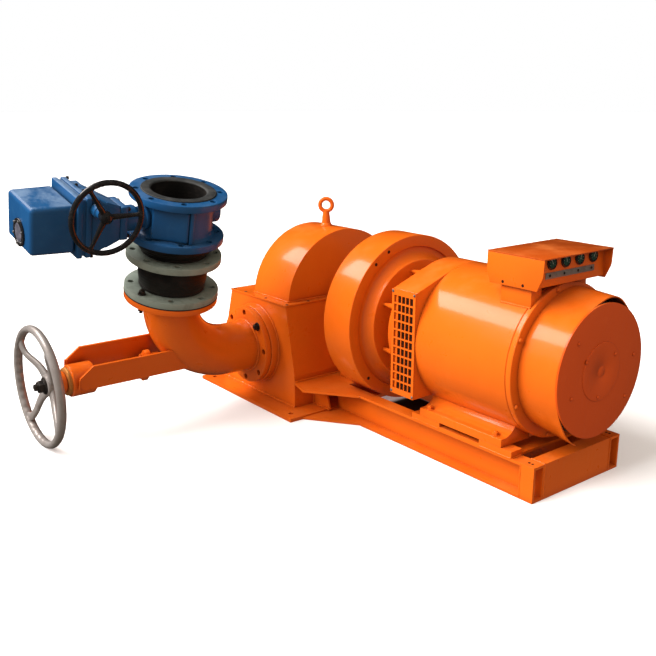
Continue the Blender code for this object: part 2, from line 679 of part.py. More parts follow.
def build_yoke(palette):
    """Gland, side plates, sleeve and bush that carry the spear's drive."""
    orange = palette["orange"]
    body = turn([(0, YOKE_ENDS[0]), (GLAND_R, YOKE_ENDS[0]), (GLAND_R, GLAND_EAR_S[0] + 0.002),
                 (0, GLAND_EAR_S[0] + 0.002)], NOZZLE, 16)
    gland = finish("spear_gland", body, orange, smooth=True)
    u, v = GLAND_EAR
    ears = [(-v, -u * 0.6), (-v * 0.5, -u), (v * 0.5, -u), (v, -u * 0.6), (v * 1.5, 0),
            (v, u * 0.6), (v * 0.5, u), (-v * 0.5, u), (-v, u * 0.6), (-v * 1.5, 0)]
    flange = prism(ears, "z", *GLAND_EAR_S)
    flange.transform(NOZZLE)
    shape_with(gland, flange, "UNION", "ears")
    nose = rod(GLAND_NOSE_R, GLAND_EAR_S[1] - 0.002, GLAND_END, NOZZLE, 16)
    shape_with(gland, nose, "UNION", "nose")
    shape_with(gland, elbow_form(), "DIFFERENCE", "seat")
    start, end = YOKE_ENDS
    low, high = YOKE_H
    reach, drop = YOKE_CUT
    outline = [(low, start), (low, end - reach * 0.4), (low + drop * 0.4, end),
               (high - drop, end), (high, end - reach), (high, start)]
    for side, sign in (("near", 1), ("far", -1)):
        inner, outer = sign * (YOKE_IN + GAP), sign * (YOKE_IN + YOKE_T)
        plate = prism(outline, "x", inner, outer)
        plate.transform(NOZZLE)
        plate = finish(f"yoke_plate_{side}", plate, orange)
        shape_with(plate, elbow_form(), "DIFFERENCE", "seat")
    near, far = SLEEVE_ENDS
    bore = SPEAR_R + RUNNING
    sleeve = turn([(bore, near), (SLEEVE_R, near), (SLEEVE_R, far), (bore, far)], NOZZLE, 28)
    finish("yoke_sleeve", sleeve, orange, smooth=True)
    bush = turn([(bore, far + GAP), (BUSH_R, far + GAP), (BUSH_R, BUSH_END), (bore, BUSH_END)],
                NOZZLE, 24)
    finish("yoke_bush", bush, palette["brass"], smooth=True)
    build_spear_wheel(palette)


def elbow_form():
    """The elbow's outer form, grown a little, for trimming what is welded to it."""
    return skin(elbow_loops(PIPE_R + 2 * GAP, 0.01))


def build_spear_wheel(palette):
    """Dished polished wheel with its spear rod, painted carrier and nut."""
    pivot = bpy.data.objects.new("spear_wheel_pivot", None)
    pivot.matrix_world = basis((0, WHEEL_Y, NOZZLE_Z), (1, 0, 0), (0, 0, 1), OUTWARD)
    bpy.context.collection.objects.link(pivot)
    here = Matrix.Identity(4)
    middle = WHEEL_R - WHEEL_BAR
    wheel = finish("spear_wheel", ring_bar(middle, WHEEL_BAR, here, 40, 8, 1.15),
                   palette["polished"], smooth=True)
    hub = turn([(0, HUB_BACK), (HUB_R, HUB_BACK), (HUB_R, HUB_FRONT - 0.004),
                (HUB_R - 0.006, HUB_FRONT), (0, HUB_FRONT)], here, 20)
    tip = -WHEEL_Y - GLAND_END - GAP
    parts = [("hub", hub), ("rod", rod(SPEAR_R, -tip, HUB_BACK + 0.005, here, 12))]
    for k in range(SPOKES):
        turned = radians(WHEEL_SPOKE + 360 * k / SPOKES)
        parts.append((f"spoke_{k}", curved_spoke(turned, 0.018, middle)))
    for label, bm in parts:
        shape_with(wheel, bm, "UNION", label).parent = pivot
    start = BUSH_END + WHEEL_Y + GAP
    bore = SPEAR_R / cos(pi / 12) + GAP
    carrier = turn([(bore, start), (CARRIER_R, start), (CARRIER_R - 0.004, HUB_BACK - GAP),
                    (bore, HUB_BACK - GAP)], here, 20)
    carrier = finish("spear_carrier", carrier, palette["orange"], smooth=True)
    nut = finish("spear_nut", rod(0.021, HUB_FRONT + GAP, HUB_FRONT + 0.012, here, 20),
                 palette["steel"], smooth=True)
    stub = rod(0.0135, HUB_FRONT + 0.010, HUB_FRONT + 0.038, here, 6)
    shape_with(nut, stub, "UNION", "stub").parent = pivot
    for obj in (wheel, carrier, nut):
        obj.parent = pivot


def curved_spoke(angle, inner, outer):
    """A flat bar that sweeps from the hub to the rim in an S and rises to the rim's plane."""
    loops = []
    foot = (HUB_BACK + HUB_FRONT) / 2
    section = ((-1, -0.5), (-0.6, -1), (0.6, -1), (1, -0.5), (1, 0.5), (0.6, 1), (-0.6, 1),
               (-1, 0.5))
    for i in range(SPOKE_STEPS + 1):
        t = i / SPOKE_STEPS
        radius = inner + (outer - inner) * t
        here = angle + SPOKE_SWING * sin(pi * t) - SPOKE_CURL * sin(2 * pi * t)
        centre = Vector((radius * cos(here), radius * sin(here), foot * (1 - t * t * (3 - 2 * t))))
        side = Vector((-sin(here), cos(here), 0))
        half = 0.019 - 0.004 * sin(pi * t)
        loops.append([centre + side * (half * u) + Vector((0, 0, 0.008 * v)) for u, v in section])
    return skin(loops)


def build_rotor(palette):
    """Flywheel on its shaft, and the bearing that stands on the deck."""
    left, right = FLY_X
    web = left + FLY_RECESS
    profile = [(SHAFT_R + GAP, left - 0.010), (FLY_HUB_R, left - 0.010), (FLY_HUB_R + 0.006, web),
               (FLY_STEP_R - 0.010, web), (FLY_STEP_R, left), (FLY_R - 0.003, left),
               (FLY_R, left + 0.003), (FLY_R, right - 0.003), (FLY_R - 0.003, right),
               (FLY_STEP_R, right), (FLY_STEP_R, right - 0.009), (FLY_STEP_R - 0.020, right - 0.006),
               (FLY_BOSS_R + 0.010, right + 0.005), (FLY_BOSS_R + 0.002, FLY_BOSS_X - 0.010),
               (FLY_BOSS_R - 0.003, FLY_BOSS_X), (SHAFT_R + GAP, FLY_BOSS_X)]
    pivot = bpy.data.objects.new("rotor_pivot", None)
    pivot.matrix_world = SHAFT
    bpy.context.collection.objects.link(pivot)
    here = Matrix.Identity(4)
    wheel = finish("flywheel", turn(profile, here, 48), palette["orange"], smooth=True)
    wheel.parent = pivot
    wall = HOUSING_TOP[1] + 0.012
    shaft = rod(SHAFT_R, wall, FLY_BOSS_X + 0.012, here, 20)
    shaft = finish("turbine_shaft", shaft, palette["steel"], smooth=True)
    shaft.parent = pivot
    low, high = COUPLING_X
    coupling = turn([(0, low), (COUPLING_R - 0.002, low), (COUPLING_R, low + 0.002),
                     (COUPLING_R, high - 0.018), (COUPLING_HUB_R, high - 0.014),
                     (COUPLING_HUB_R, GEN_DRIVE[0] - 0.0055), (0, GEN_DRIVE[0] - 0.0055)], here, 40)
    coupling = finish("generator_coupling", coupling, palette["orange"], smooth=True)
    coupling.parent = pivot
    tip, root = PIN_RADII
    for k in range(PIN_COUNT):
        angle = pi + (k + 0.5) * 2 * pi / PIN_COUNT
        spot = Matrix.Translation((PIN_CIRCLE * cos(angle), PIN_CIRCLE * sin(angle), 0))
        pin = turn([(0, FLY_BOSS_X + GAP), (tip, FLY_BOSS_X + GAP), (root, low - 0.012),
                    (root, low + 0.004), (0, low + 0.004)], spot, 12)
        shape_with(coupling, pin, "UNION", f"pin_{k}").parent = pivot
    stub = rod(GEN_SHAFT_R, GEN_DRIVE[0] - 0.010, GEN_DRIVE[0] + GEN_SHAFT_IN, here, 16)
    shape_with(coupling, stub, "UNION", "shaft").parent = pivot
    build_bearing(palette["orange"])


def build_bearing(material):
    """Pedestal bearing between the housing and the flywheel."""
    left, right = BEARING_X
    shell = turn([(SHAFT_R + RUNNING, left), (BEARING_R, left), (BEARING_R, right),
                  (SHAFT_R + RUNNING, right)], SHAFT, 28)
    bearing = finish("shaft_bearing", shell, material, smooth=True)
    foot = FRAME_H + GAP
    outline = [(-0.130, foot), (0.130, foot), (0.130, foot + 0.022), (0.072, foot + 0.040),
               (0.066, SHAFT_Z - 0.010), (-0.066, SHAFT_Z - 0.010), (-0.072, foot + 0.040),
               (-0.130, foot + 0.022)]
    stand = prism(outline, "x", left + 0.008, right - 0.008)
    tool = shape_with(bearing, stand, "UNION", "stand")
    shape_with(tool, rod(SHAFT_R + RUNNING + 0.004, left - 0.01, right + 0.01, SHAFT, 28),
               "DIFFERENCE", "bore")


def build_generator(palette):
    """Drive-end box with grilles, barrel on feet, rear screen, cowl and end disc."""
    orange = palette["orange"]
    corner = BOX_Z[1] - SHAFT_Z
    reach = hypot(BOX_Y, corner)
    tangent = atan2(corner, BOX_Y) + acos(GEN_R / reach)
    right = [(BOX_Y, BOX_Z[0]), (BOX_Y, BOX_Z[1])]
    arc = []
    steps = 12
    for i in range(steps + 1):
        angle = tangent + (pi - 2 * tangent) * i / steps
        arc.append((GEN_R * cos(angle), SHAFT_Z + GEN_R * sin(angle)))
    outline = right + arc + [(-y, z) for y, z in reversed(right)]
    case = finish("generator_drive_end", prism(outline, "x", *GEN_DRIVE), orange, smooth=True)
    bore = rod(GEN_SHAFT_R + RUNNING, GEN_DRIVE[0] - 0.01, GEN_DRIVE[0] + GEN_SHAFT_IN + RUNNING,
               SHAFT, 24)
    shape_with(case, bore, "DIFFERENCE", "shaft_bore")
    for side, sign in (("near", -1), ("far", 1)):
        build_grille(side, sign, orange)
    start, end = GEN_BARREL
    seam = GEN_R - SEAM_DEPTH
    profile = [(0, start), (GEN_R, start), (GEN_R, SEAM_X - SEAM_HALF), (seam, SEAM_X - 0.0005),
               (seam, SEAM_X + 0.0005), (GEN_R, SEAM_X + SEAM_HALF), (GEN_R, end - 0.002),
               (GEN_R - 0.002, end), (0, end)]
    barrel = finish("generator_barrel", turn(profile, SHAFT, 48), orange, smooth=True)
    for side, sign in (("near", -1), ("far", 1)):
        outer = sign * FRAME_HALF
        base = PAD_TOP + GAP
        section = [(outer, base), (outer, FOOT_Z)]
        section += [(sign * y, FOOT_Z + rise) for y, rise in FOOT_CURVE]
        section += [(sign * 0.150, FOOT_Z + 0.070), (sign * FOOT_IN, FOOT_Z + 0.020),
                    (sign * FOOT_IN, base)]
        shape_with(barrel, prism(section, "x", *FOOT_X), "UNION", f"foot_{side}")
    build_rear(palette)


def build_grille(side, sign, material):
    """Flat plate with rows of upright slots over the mouth of the drive-end box."""
    inner = sign * (BOX_Y + GAP)
    width = GEN_DRIVE[1] - GEN_DRIVE[0]
    height = BOX_Z[1] - BOX_Z[0]
    margin_x, margin_z = 0.009, 0.018
    pitch_x = (width - 2 * margin_x) / GRILLE_COLUMNS
    pitch_z = (height - 2 * margin_z) / GRILLE_ROWS
    bar_x, bar_z = 0.004, 0.006
    xs = [0.0]
    for k in range(GRILLE_COLUMNS):
        xs += [margin_x + k * pitch_x + bar_x / 2, margin_x + (k + 1) * pitch_x - bar_x / 2]
    xs.append(width)
    zs = [0.0]
    for k in range(GRILLE_ROWS):
        zs += [margin_z + k * pitch_z + bar_z / 2, margin_z + (k + 1) * pitch_z - bar_z / 2]
    zs.append(height)
    bm = bmesh.new()
    grid = [[bm.verts.new((GEN_DRIVE[0] + x, inner, BOX_Z[0] + z)) for z in zs] for x in xs]
    for i in range(len(xs) - 1):
        for j in range(len(zs) - 1):
            if i % 2 and j % 2:
                continue
            bm.faces.new((grid[i][j], grid[i + 1][j], grid[i + 1][j + 1], grid[i][j + 1]))
    grown = bmesh.ops.extrude_face_region(bm, geom=bm.faces[:])
    moved = [item for item in grown["geom"] if isinstance(item, bmesh.types.BMVert)]
    bmesh.ops.translate(bm, vec=(0, sign * GRILLE_T, 0), verts=moved)
    finish(f"generator_grille_{side}", bm, material)


def build_rear(palette):
    """Dark screen drum, loose-fitting cowl and flat end disc."""
    start, end = COWL_X
    finish("rear_screen", rod(SCREEN_R, start, DISC_X[0] - GAP, SHAFT, 48), palette["black"],
           smooth=True)
    opening = radians(COWL_OPEN)
    first, last = -pi / 2 + opening, 1.5 * pi - opening
    steps = 40
    loops = []
    for i in range(steps + 1):
        angle = first + (last - first) * i / steps
        mouth = COWL_TIGHT + COWL_BULGE * max(cos(angle - radians(COWL_PEAK)), 0) ** 16
        mouth += COWL_FLAP * max(cos(angle - radians(COWL_CORNER)), 0) ** 8
        corners = ((COWL_R, start), (mouth, end), (mouth - COWL_T, end), (COWL_R - COWL_T, start))
        loops.append([SHAFT @ Vector((r * cos(angle), r * sin(angle), x)) for r, x in corners])
    finish("rear_cowl", skin(loops), palette["orange"], smooth=True)
    inner, outer = DISC_X
    cover = DISC_COVER_R
    disc = turn([(0, inner), (DISC_R, inner), (DISC_R, outer - 0.001), (DISC_R - 0.001, outer),
                 (cover, outer), (cover - 0.001, outer + 0.0025), (0, outer + 0.0025)], SHAFT, 48)
    finish("rear_disc", disc, palette["orange"], smooth=True)


def build_terminal(palette):
    """Terminal box on its neck, with cheeks and a lid around a set-back gauge panel."""
    orange = palette["orange"]
    neck = block((TERM_NECK_X[0], TERM_NECK_Y[0], SHAFT_Z + 0.15),
                 (TERM_NECK_X[1], TERM_NECK_Y[1], TERM_BASE - GAP))
    neck = finish("terminal_neck", neck, orange)
    barrel_form = rod(GEN_R + GAP, GEN_BARREL[0], GEN_BARREL[1], SHAFT, 48)
    shape_with(neck, barrel_form, "DIFFERENCE", "seat")
    x0, x1 = TERM_X
    shoulder = TERM_TOP - 0.055
    rim = TERM_TOP - LID_T - GAP
    y0, y1 = TERM_Y
    outline = [(x0 + 0.002, shoulder - 0.008), (x0 + 0.014, TERM_BASE),
               (TERM_PANEL_X[0], TERM_BASE), (TERM_PANEL_X[1], rim), (x0 + 0.002, rim)]
    box = finish("terminal_box", prism(outline, "y", y0 + 0.002, y1 - 0.002), orange)
    cheek = [(x0 + 0.002, shoulder - 0.008), (x0 + 0.015, TERM_LOW), (x1 - 0.023, TERM_LOW),
             (x1 - 0.003, shoulder), (x1 - 0.001, rim), (x0 + 0.002, rim)]
    for low, name in ((y0, "near"), (y1 - CHEEK_T, "far")):
        shape_with(box, prism(cheek, "y", low, low + CHEEK_T), "UNION", f"{name}_cheek")
    finish("terminal_lid", block((x0, y0, TERM_TOP - LID_T), (x1, y1, TERM_TOP)), orange)


def main():
    """Build every sub-part."""
    clear_scene()
    palette = make_palette()
    build_frame(palette)
    build_housing(palette)
    build_elbow(palette)
    build_stack(palette)
    build_valve(palette)
    build_drive(palette)
    build_yoke(palette)
    build_rotor(palette)
    build_generator(palette)
    build_terminal(palette)


main()
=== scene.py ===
import json
from math import acos, asin, atan2, cos, hypot, pi, radians, sin, tau

import bmesh
import bpy
from mathutils import Matrix, Vector, noise


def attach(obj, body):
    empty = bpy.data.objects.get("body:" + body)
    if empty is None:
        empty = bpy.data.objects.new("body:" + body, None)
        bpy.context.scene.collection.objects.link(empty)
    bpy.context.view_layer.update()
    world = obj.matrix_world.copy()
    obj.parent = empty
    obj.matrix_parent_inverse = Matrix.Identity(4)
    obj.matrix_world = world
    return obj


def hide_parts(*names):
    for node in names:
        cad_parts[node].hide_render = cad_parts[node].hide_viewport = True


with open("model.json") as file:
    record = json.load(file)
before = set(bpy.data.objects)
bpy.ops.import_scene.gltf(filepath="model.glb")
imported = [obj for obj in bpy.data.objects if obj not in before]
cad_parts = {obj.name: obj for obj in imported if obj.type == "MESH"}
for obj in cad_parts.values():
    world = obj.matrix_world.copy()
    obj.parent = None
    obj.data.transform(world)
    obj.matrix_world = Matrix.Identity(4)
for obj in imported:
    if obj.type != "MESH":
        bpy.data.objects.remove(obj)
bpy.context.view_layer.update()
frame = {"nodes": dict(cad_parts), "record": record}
cadNodes = frame["nodes"]
print("frame loaded:", len(cadNodes), "nodes")

# where the machine's lines run, in metres and degrees
site = {"shaftZ": 0.401, "nozzleZ": 0.2265, "legY": -0.750, "lean": 14.2, "roll": 19.5,
        "stem": 0.606, "housingY": -0.327, "wheelY": -1.246}


def axes(origin, x, y, z):
    return Matrix.Translation(origin) @ Matrix((x, y, z)).transposed().to_4x4()


def shift(x, y, z=0.0):
    return Matrix.Translation((x, y, z))


def turned(degrees, axis="Z"):
    return Matrix.Rotation(radians(degrees), 4, axis)


def facingNear(x, y, z):
    # a frame whose Z points at the near side
    return axes((x, y, z), (1, 0, 0), (0, 0, 1), (0, -1, 0))


def facingEnd(x, y, z):
    # a frame whose Z points along the shaft, at the generator's end
    return axes((x, y, z), (0, 1, 0), (0, 0, 1), (1, 0, 0))


def onRing(radius, angle, height=0.0):
    # a spot on a circle, not turned
    return shift(radius * cos(angle), radius * sin(angle), height)


def leaning(degrees):
    a = radians(degrees)
    return Vector((cos(a), 0, -sin(a))), Vector((sin(a), 0, cos(a)))


legSide, legUp = leaning(site["lean"])
yokeSide, yokeUp = leaning(site["roll"])
outward = Vector((0, -1, 0))
legFoot = Vector((0, site["legY"], site["nozzleZ"]))
stemFoot = legFoot + legUp * site["stem"]
alongShaft = facingEnd(0, 0, site["shaftZ"])
alongLeg = axes(legFoot, legSide, (0, 1, 0), legUp)
alongNozzle = facingNear(0, 0, site["nozzleZ"])
alongYoke = axes((0, 0, site["nozzleZ"]), yokeSide, yokeUp, outward)
alongStem = axes(stemFoot, legSide, legUp, outward)
wheelFace = facingNear(0, site["wheelY"], site["nozzleZ"])


class Wire:
    # a socket that can be written into sums

    def __init__(self, wiring, socket):
        self.wiring, self.socket = wiring, socket

    def maths(self, operation, *others):
        return self.wiring.add("ShaderNodeMath", {"operation": operation}, self, *others)

    def __add__(self, other):
        return self.maths("ADD", other)

    def __sub__(self, other):
        return self.maths("SUBTRACT", other)

    def __rsub__(self, other):
        return self.wiring.add("ShaderNodeMath", {"operation": "SUBTRACT"}, other, self)

    def __mul__(self, other):
        return self.maths("MULTIPLY", other)

    def __pow__(self, other):
        return self.maths("POWER", other)

    def __gt__(self, other):
        return self.maths("GREATER_THAN", other)

    __radd__ = __add__
    __rmul__ = __mul__

    def fade(self, low, high, start=0.0, end=1.0):
        return self.wiring.add("ShaderNodeMapRange", {"interpolation_type": "SMOOTHSTEP"},
                               self, low, high, start, end)


class Wiring:
    # a node tree while it is being wired

    def __init__(self, tree):
        self.tree = tree

    def add(self, kind, settings, *values, out=0, **named):
        node = self.tree.nodes.new(kind)
        for label, value in settings.items():
            setattr(node, label, value)
        for index, value in enumerate(values):
            self.plug(node.inputs[index], value)
        for label, value in named.items():
            self.plug(node.inputs[label.replace("_", " ")], value)
        return Wire(self, node.outputs[out])

    def plug(self, socket, value):
        if isinstance(value, Wire):
            self.tree.links.new(value.socket, socket)
        elif isinstance(value, tuple) and len(value) == 3 and socket.type == "RGBA":
            socket.default_value = (*value, 1)
        else:
            socket.default_value = value

    def parts(self, vector):
        split = self.add("ShaderNodeSeparateXYZ", {}, vector)
        return [Wire(self, output) for output in split.socket.node.outputs]

    def mix(self, share, first, second):
        # a colour between two others
        node = self.tree.nodes.new("ShaderNodeMix")
        node.data_type = "RGBA"
        for index, value in ((0, share), (6, first), (7, second)):
            self.plug(node.inputs[index], value)
        return Wire(self, node.outputs[2])


class Finish(Wiring):
    # one material while it is being wired

    def __init__(self, name, **constants):
        self.material = bpy.data.materials.new(name)
        self.material.use_nodes = True
        super().__init__(self.material.node_tree)
        self.shader = self.tree.nodes["Principled BSDF"]
        for label, value in constants.items():
            self.shader.inputs[label.replace("_", " ")].default_value = value
        self.place = self.add("ShaderNodeTexCoord", {}, out="Object")

    def parts(self, vector=None):
        return super().parts(vector or self.place)

    def noise(self, scale, detail=2.0, rough=0.5, warp=0.0, place=None):
        return self.add("ShaderNodeTexNoise", {}, Vector=place or self.place, Scale=scale,
                        Detail=detail, Roughness=rough, Distortion=warp)

    def stretched(self, scale, turn=(0, 0, 0)):
        return self.add("ShaderNodeMapping", {}, Vector=self.place, Scale=scale, Rotation=turn)

    def edges(self, radius):
        # 1 on worn outer edges, 0 on flats
        geometry = self.add("ShaderNodeNewGeometry", {}, out="Normal")
        rounded = self.add("ShaderNodeBevel", {"samples": 4}, Radius=radius)
        facing = self.add("ShaderNodeVectorMath", {"operation": "DOT_PRODUCT"}, geometry,
                          rounded, out="Value")
        return (1 - facing).fade(0.01, 0.35)

    def upness(self):
        # 1 on faces that look up, where dust lies
        normal = self.add("ShaderNodeNewGeometry", {}, out="Normal")
        return self.parts(normal)[2].fade(0.6, 0.98)

    def corners(self, reach):
        # painted shade: 1 in corners and seams, found by ambient occlusion, for darkening colours
        # there
        clear = self.add("ShaderNodeAmbientOcclusion", {"samples": 6}, Distance=reach, out="AO")
        return 1 - clear.fade(0.25, 0.95)

    def bump(self, *layers, rounding=0.0):
        # layers are (height, depth in metres, strength)
        normal = None
        if rounding:
            normal = self.add("ShaderNodeBevel", {"samples": 4}, Radius=rounding)
        for height, depth, strength in layers:
            named = {"Height": height, "Distance": depth, "Strength": strength}
            if normal:
                named["Normal"] = normal
            normal = self.add("ShaderNodeBump", {}, **named)
        self.plug(self.shader.inputs["Normal"], normal)

    def wire(self, **named):
        for label, value in named.items():
            self.plug(self.shader.inputs[label.replace("_", " ")], value)
        return self.material


# the seam colour is painted shade for corners and seams
enamelLook = {"lit": (0.65, 0.112, 0.006), "deep": (0.54, 0.072, 0.004),
              "thin": (0.70, 0.135, 0.015), "seam": (0.26, 0.022, 0.003),
              "dust": (0.56, 0.19, 0.045), "speck": (0.24, 0.040, 0.008), "rounding": 0.0016,
              # on the next line, darker copies of lit: the first is painted shade for the rear disc,
              # the second gives the lid a darker enamel
              "dullShadedLit": (0.56, 0.066, 0.003), "lidLit": (0.40, 0.062, 0.005)}


def makeOrangeEnamel(look, name="orangeEnamel", lit="lit", grime=1.0, dull=0.0, rounded=True):
    # thick enamel that has sagged a little, under a clear coat
    finish = Finish(name, Coat_Roughness=0.12, Coat_IOR=1.5, Specular_IOR_Level=0.2)
    clouds = finish.noise(2.6, 3, 0.55)
    mottle = finish.noise(24, 4, 0.6, 0.3)
    sags = finish.noise(13, 2, 0.5, 0.6, finish.stretched((1.0, 1.0, 0.45)))
    peel = finish.noise(420, 2, 0.5)
    specks = finish.noise(190, 3, 0.6)
    cornerShade = finish.corners(0.035)
    dusty = finish.upness() * finish.noise(7, 5, 0.65).fade(0.42, 0.75)
    colour = finish.mix(clouds.fade(0.35, 0.7) * 0.28, look[lit], look["deep"])
    colour = finish.mix(mottle.fade(0.55, 0.8) * 0.14, colour, look["thin"])
    # painted shade: corners and seams, found by ambient occlusion, darken towards the seam colour;
    # grime scales it along with the dust and specks
    colour = finish.mix(cornerShade * 0.55 * grime, colour, look["seam"])
    colour = finish.mix(dusty * 0.28 * grime, colour, look["dust"])
    colour = finish.mix((specks > 0.70) * 0.35 * grime, colour, look["speck"])
    rough = 0.24 + dull + mottle * 0.10 + dusty * 0.28 + cornerShade * 0.15
    finish.bump((sags, 0.0035, 0.55), (mottle, 0.0010, 0.35), (peel, 0.0002, 0.35),
                rounding=look["rounding"] if rounded else 0.0)
    return finish.wire(Base_Color=colour, Roughness=rough, Coat_Weight=0.65 - dusty * 0.5)


# the seam colour is painted shade for corners and seams
blueLook = {"lit": (0.0075, 0.068, 0.186), "deep": (0.005, 0.044, 0.132),
            "thin": (0.018, 0.090, 0.20), "seam": (0.006, 0.016, 0.032),
            "dust": (0.155, 0.235, 0.345), "worn": (0.085, 0.155, 0.235),
            "dustY": (0.90, 1.16), "valveDust": 0.25}


def makeBlueEnamel(look):
    # paint on rough castings; the drive lies under more dust than the valve
    finish = Finish("blueEnamel", Coat_Roughness=0.18, Specular_IOR_Level=0.3)
    clouds = finish.noise(5, 3, 0.6)
    cast = finish.noise(150, 4, 0.62)
    coarse = finish.noise(38, 3, 0.5, 0.4)
    cornerShade = finish.corners(0.02)
    onDrive = (-1 * finish.parts()[1]).fade(*look["dustY"], look["valveDust"], 1.0)
    dusty = finish.upness() * finish.noise(11, 5, 0.7).fade(0.34, 0.62) * onDrive
    worn = finish.edges(0.0022) * finish.noise(60, 4, 0.7).fade(0.50, 0.62)
    colour = finish.mix(clouds.fade(0.3, 0.75) * 0.6, look["lit"], look["deep"])
    colour = finish.mix(coarse.fade(0.5, 0.8) * 0.25, colour, look["thin"])
    # painted shade: corners and seams, found by ambient occlusion, darken towards the seam colour
    colour = finish.mix(cornerShade * 0.6, colour, look["seam"])
    colour = finish.mix(dusty * 0.62, colour, look["dust"])
    colour = finish.mix(worn * 0.7, colour, look["worn"])
    rough = 0.33 + cast * 0.12 + dusty * 0.3 + worn * 0.1
    finish.bump((coarse, 0.0014, 0.35), (cast, 0.0005, 0.45), rounding=0.0018)
    return finish.wire(Base_Color=colour, Roughness=rough, Coat_Weight=0.18 - dusty * 0.15)


# the seam colour is painted shade for corners and seams
ringLook = {"lit": (0.212, 0.244, 0.205), "deep": (0.160, 0.190, 0.160),
            "stain": (0.070, 0.072, 0.058), "seam": (0.026, 0.030, 0.026),
            "worn": (0.11, 0.066, 0.036)}


def makeRingPaint(look):
    finish = Finish("ringPaint", Specular_IOR_Level=0.45)
    clouds = finish.noise(9, 4, 0.6)
    grain = finish.noise(260, 3, 0.6)
    stains = finish.noise(26, 5, 0.65, 0.5).fade(0.48, 0.72)
    worn = finish.edges(0.002) * finish.noise(48, 4, 0.7).fade(0.45, 0.62)
    cornerShade = finish.corners(0.02)
    colour = finish.mix(clouds.fade(0.3, 0.7), look["deep"], look["lit"])
    colour = finish.mix(stains * 0.35, colour, look["stain"])
    # painted shade: corners and seams, found by ambient occlusion, darken towards the seam colour
    colour = finish.mix(cornerShade * 0.6, colour, look["seam"])
    colour = finish.mix(worn * 0.6, colour, look["worn"])
    rough = 0.46 + clouds * 0.14 + stains * 0.12
    finish.bump((clouds, 0.0012, 0.3), (grain, 0.0003, 0.5), rounding=0.0014)
    return finish.wire(Base_Color=colour, Roughness=rough)


# the colour between the strands is painted shade
guardLook = {"drum": 0.212, "pitch": 420, "gap": (0.008, 0.007, 0.006),
             "strand": (0.42, 0.31, 0.25), "dust": (0.05, 0.035, 0.028)}


def makeGuardMesh(look):
    # expanded metal: two sets of slanting strands round the drum, with painted shade between them for
    # the hollow inside
    finish = Finish("guardMesh", Specular_IOR_Level=0.5)
    x, y, z = finish.parts()
    around = (z - site["shaftZ"]).maths("ARCTAN2", y) * look["drum"]
    first = ((around + x) * look["pitch"]).maths("SINE")
    second = ((around - x) * look["pitch"]).maths("SINE")
    strand = first.maths("MAXIMUM", second).fade(0.55, 0.85)
    dust = finish.noise(80, 4, 0.6)
    colour = finish.mix(strand, look["gap"], look["strand"])
    colour = finish.mix(dust.fade(0.5, 0.8) * 0.4, colour, look["dust"])
    finish.bump((strand, 0.002, 0.8))
    return finish.wire(Base_Color=colour, Roughness=0.45 + dust * 0.2)


# the seam colour is painted shade for corners and seams
rubberLook = {"lit": (0.005, 0.0045, 0.0042), "bloom": (0.024, 0.018, 0.014),
              "seam": (0.006, 0.006, 0.006), "lines": 520, "foot": 0.62, "fades": 0.10}


def makeRubber(look):
    # moulding lines run round the leg, and the foot is paler with dust
    finish = Finish("jointRubber", Specular_IOR_Level=0.35)
    up = finish.parts(finish.stretched((1, 1, 1), (0, radians(-site["lean"]), 0)))[2]
    lines = (up * look["lines"]).maths("SINE")
    cloth = finish.noise(340, 2, 0.5)
    bloom = finish.noise(16, 5, 0.65, 0.6).fade(0.42, 0.75)
    low = (look["foot"] - finish.parts()[2]).fade(0.0, look["fades"])
    colour = finish.mix(bloom * 0.5 + low * 0.25, look["lit"], look["bloom"])
    # painted shade: corners and seams, found by ambient occlusion, darken towards the seam colour
    colour = finish.mix(finish.corners(0.02) * 0.6, colour, look["seam"])
    finish.bump((lines, 0.0004, 0.35), (cloth, 0.0004, 0.5))
    return finish.wire(Base_Color=colour, Roughness=0.50 + bloom * 0.2)


# the seam colour is painted shade for corners and seams
linerLook = {"lit": (0.020, 0.0222, 0.0226), "bloom": (0.042, 0.0435, 0.0425),
             "seam": (0.016, 0.017, 0.018)}


def makeLiner(look):
    finish = Finish("seatLiner", Specular_IOR_Level=0.4)
    bloom = finish.noise(22, 5, 0.65).fade(0.35, 0.7)
    grain = finish.noise(420, 3, 0.6)
    colour = finish.mix(bloom, look["lit"], look["bloom"])
    # painted shade: corners and seams, found by ambient occlusion, darken towards the seam colour
    colour = finish.mix(finish.corners(0.03) * 0.5, colour, look["seam"])
    finish.bump((grain, 0.0003, 0.4), rounding=0.001)
    return finish.wire(Base_Color=colour, Roughness=0.52 + bloom * 0.15)


blackLook = {"lit": (0.010, 0.010, 0.011), "rubbed": (0.045, 0.040, 0.036)}


def makeBlackEnamel(look):
    finish = Finish("blackEnamel", Coat_Roughness=0.10, Specular_IOR_Level=0.5)
    rub = finish.noise(30, 5, 0.7).fade(0.50, 0.72)
    ripple = finish.noise(70, 2, 0.5)
    colour = finish.mix(rub * 0.5, look["lit"], look["rubbed"])
    finish.bump((ripple, 0.0006, 0.35), rounding=0.001)
    return finish.wire(Base_Color=colour, Roughness=0.22 + rub * 0.22, Coat_Weight=0.5 - rub * 0.4)


# the seam colour is painted shade for corners and seams
ironLook = {"lit": (0.42, 0.385, 0.365), "tarnish": (0.28, 0.235, 0.205),
            "pit": (0.16, 0.13, 0.11), "seam": (0.12, 0.10, 0.09), "marks": 900, "streaks": 6}


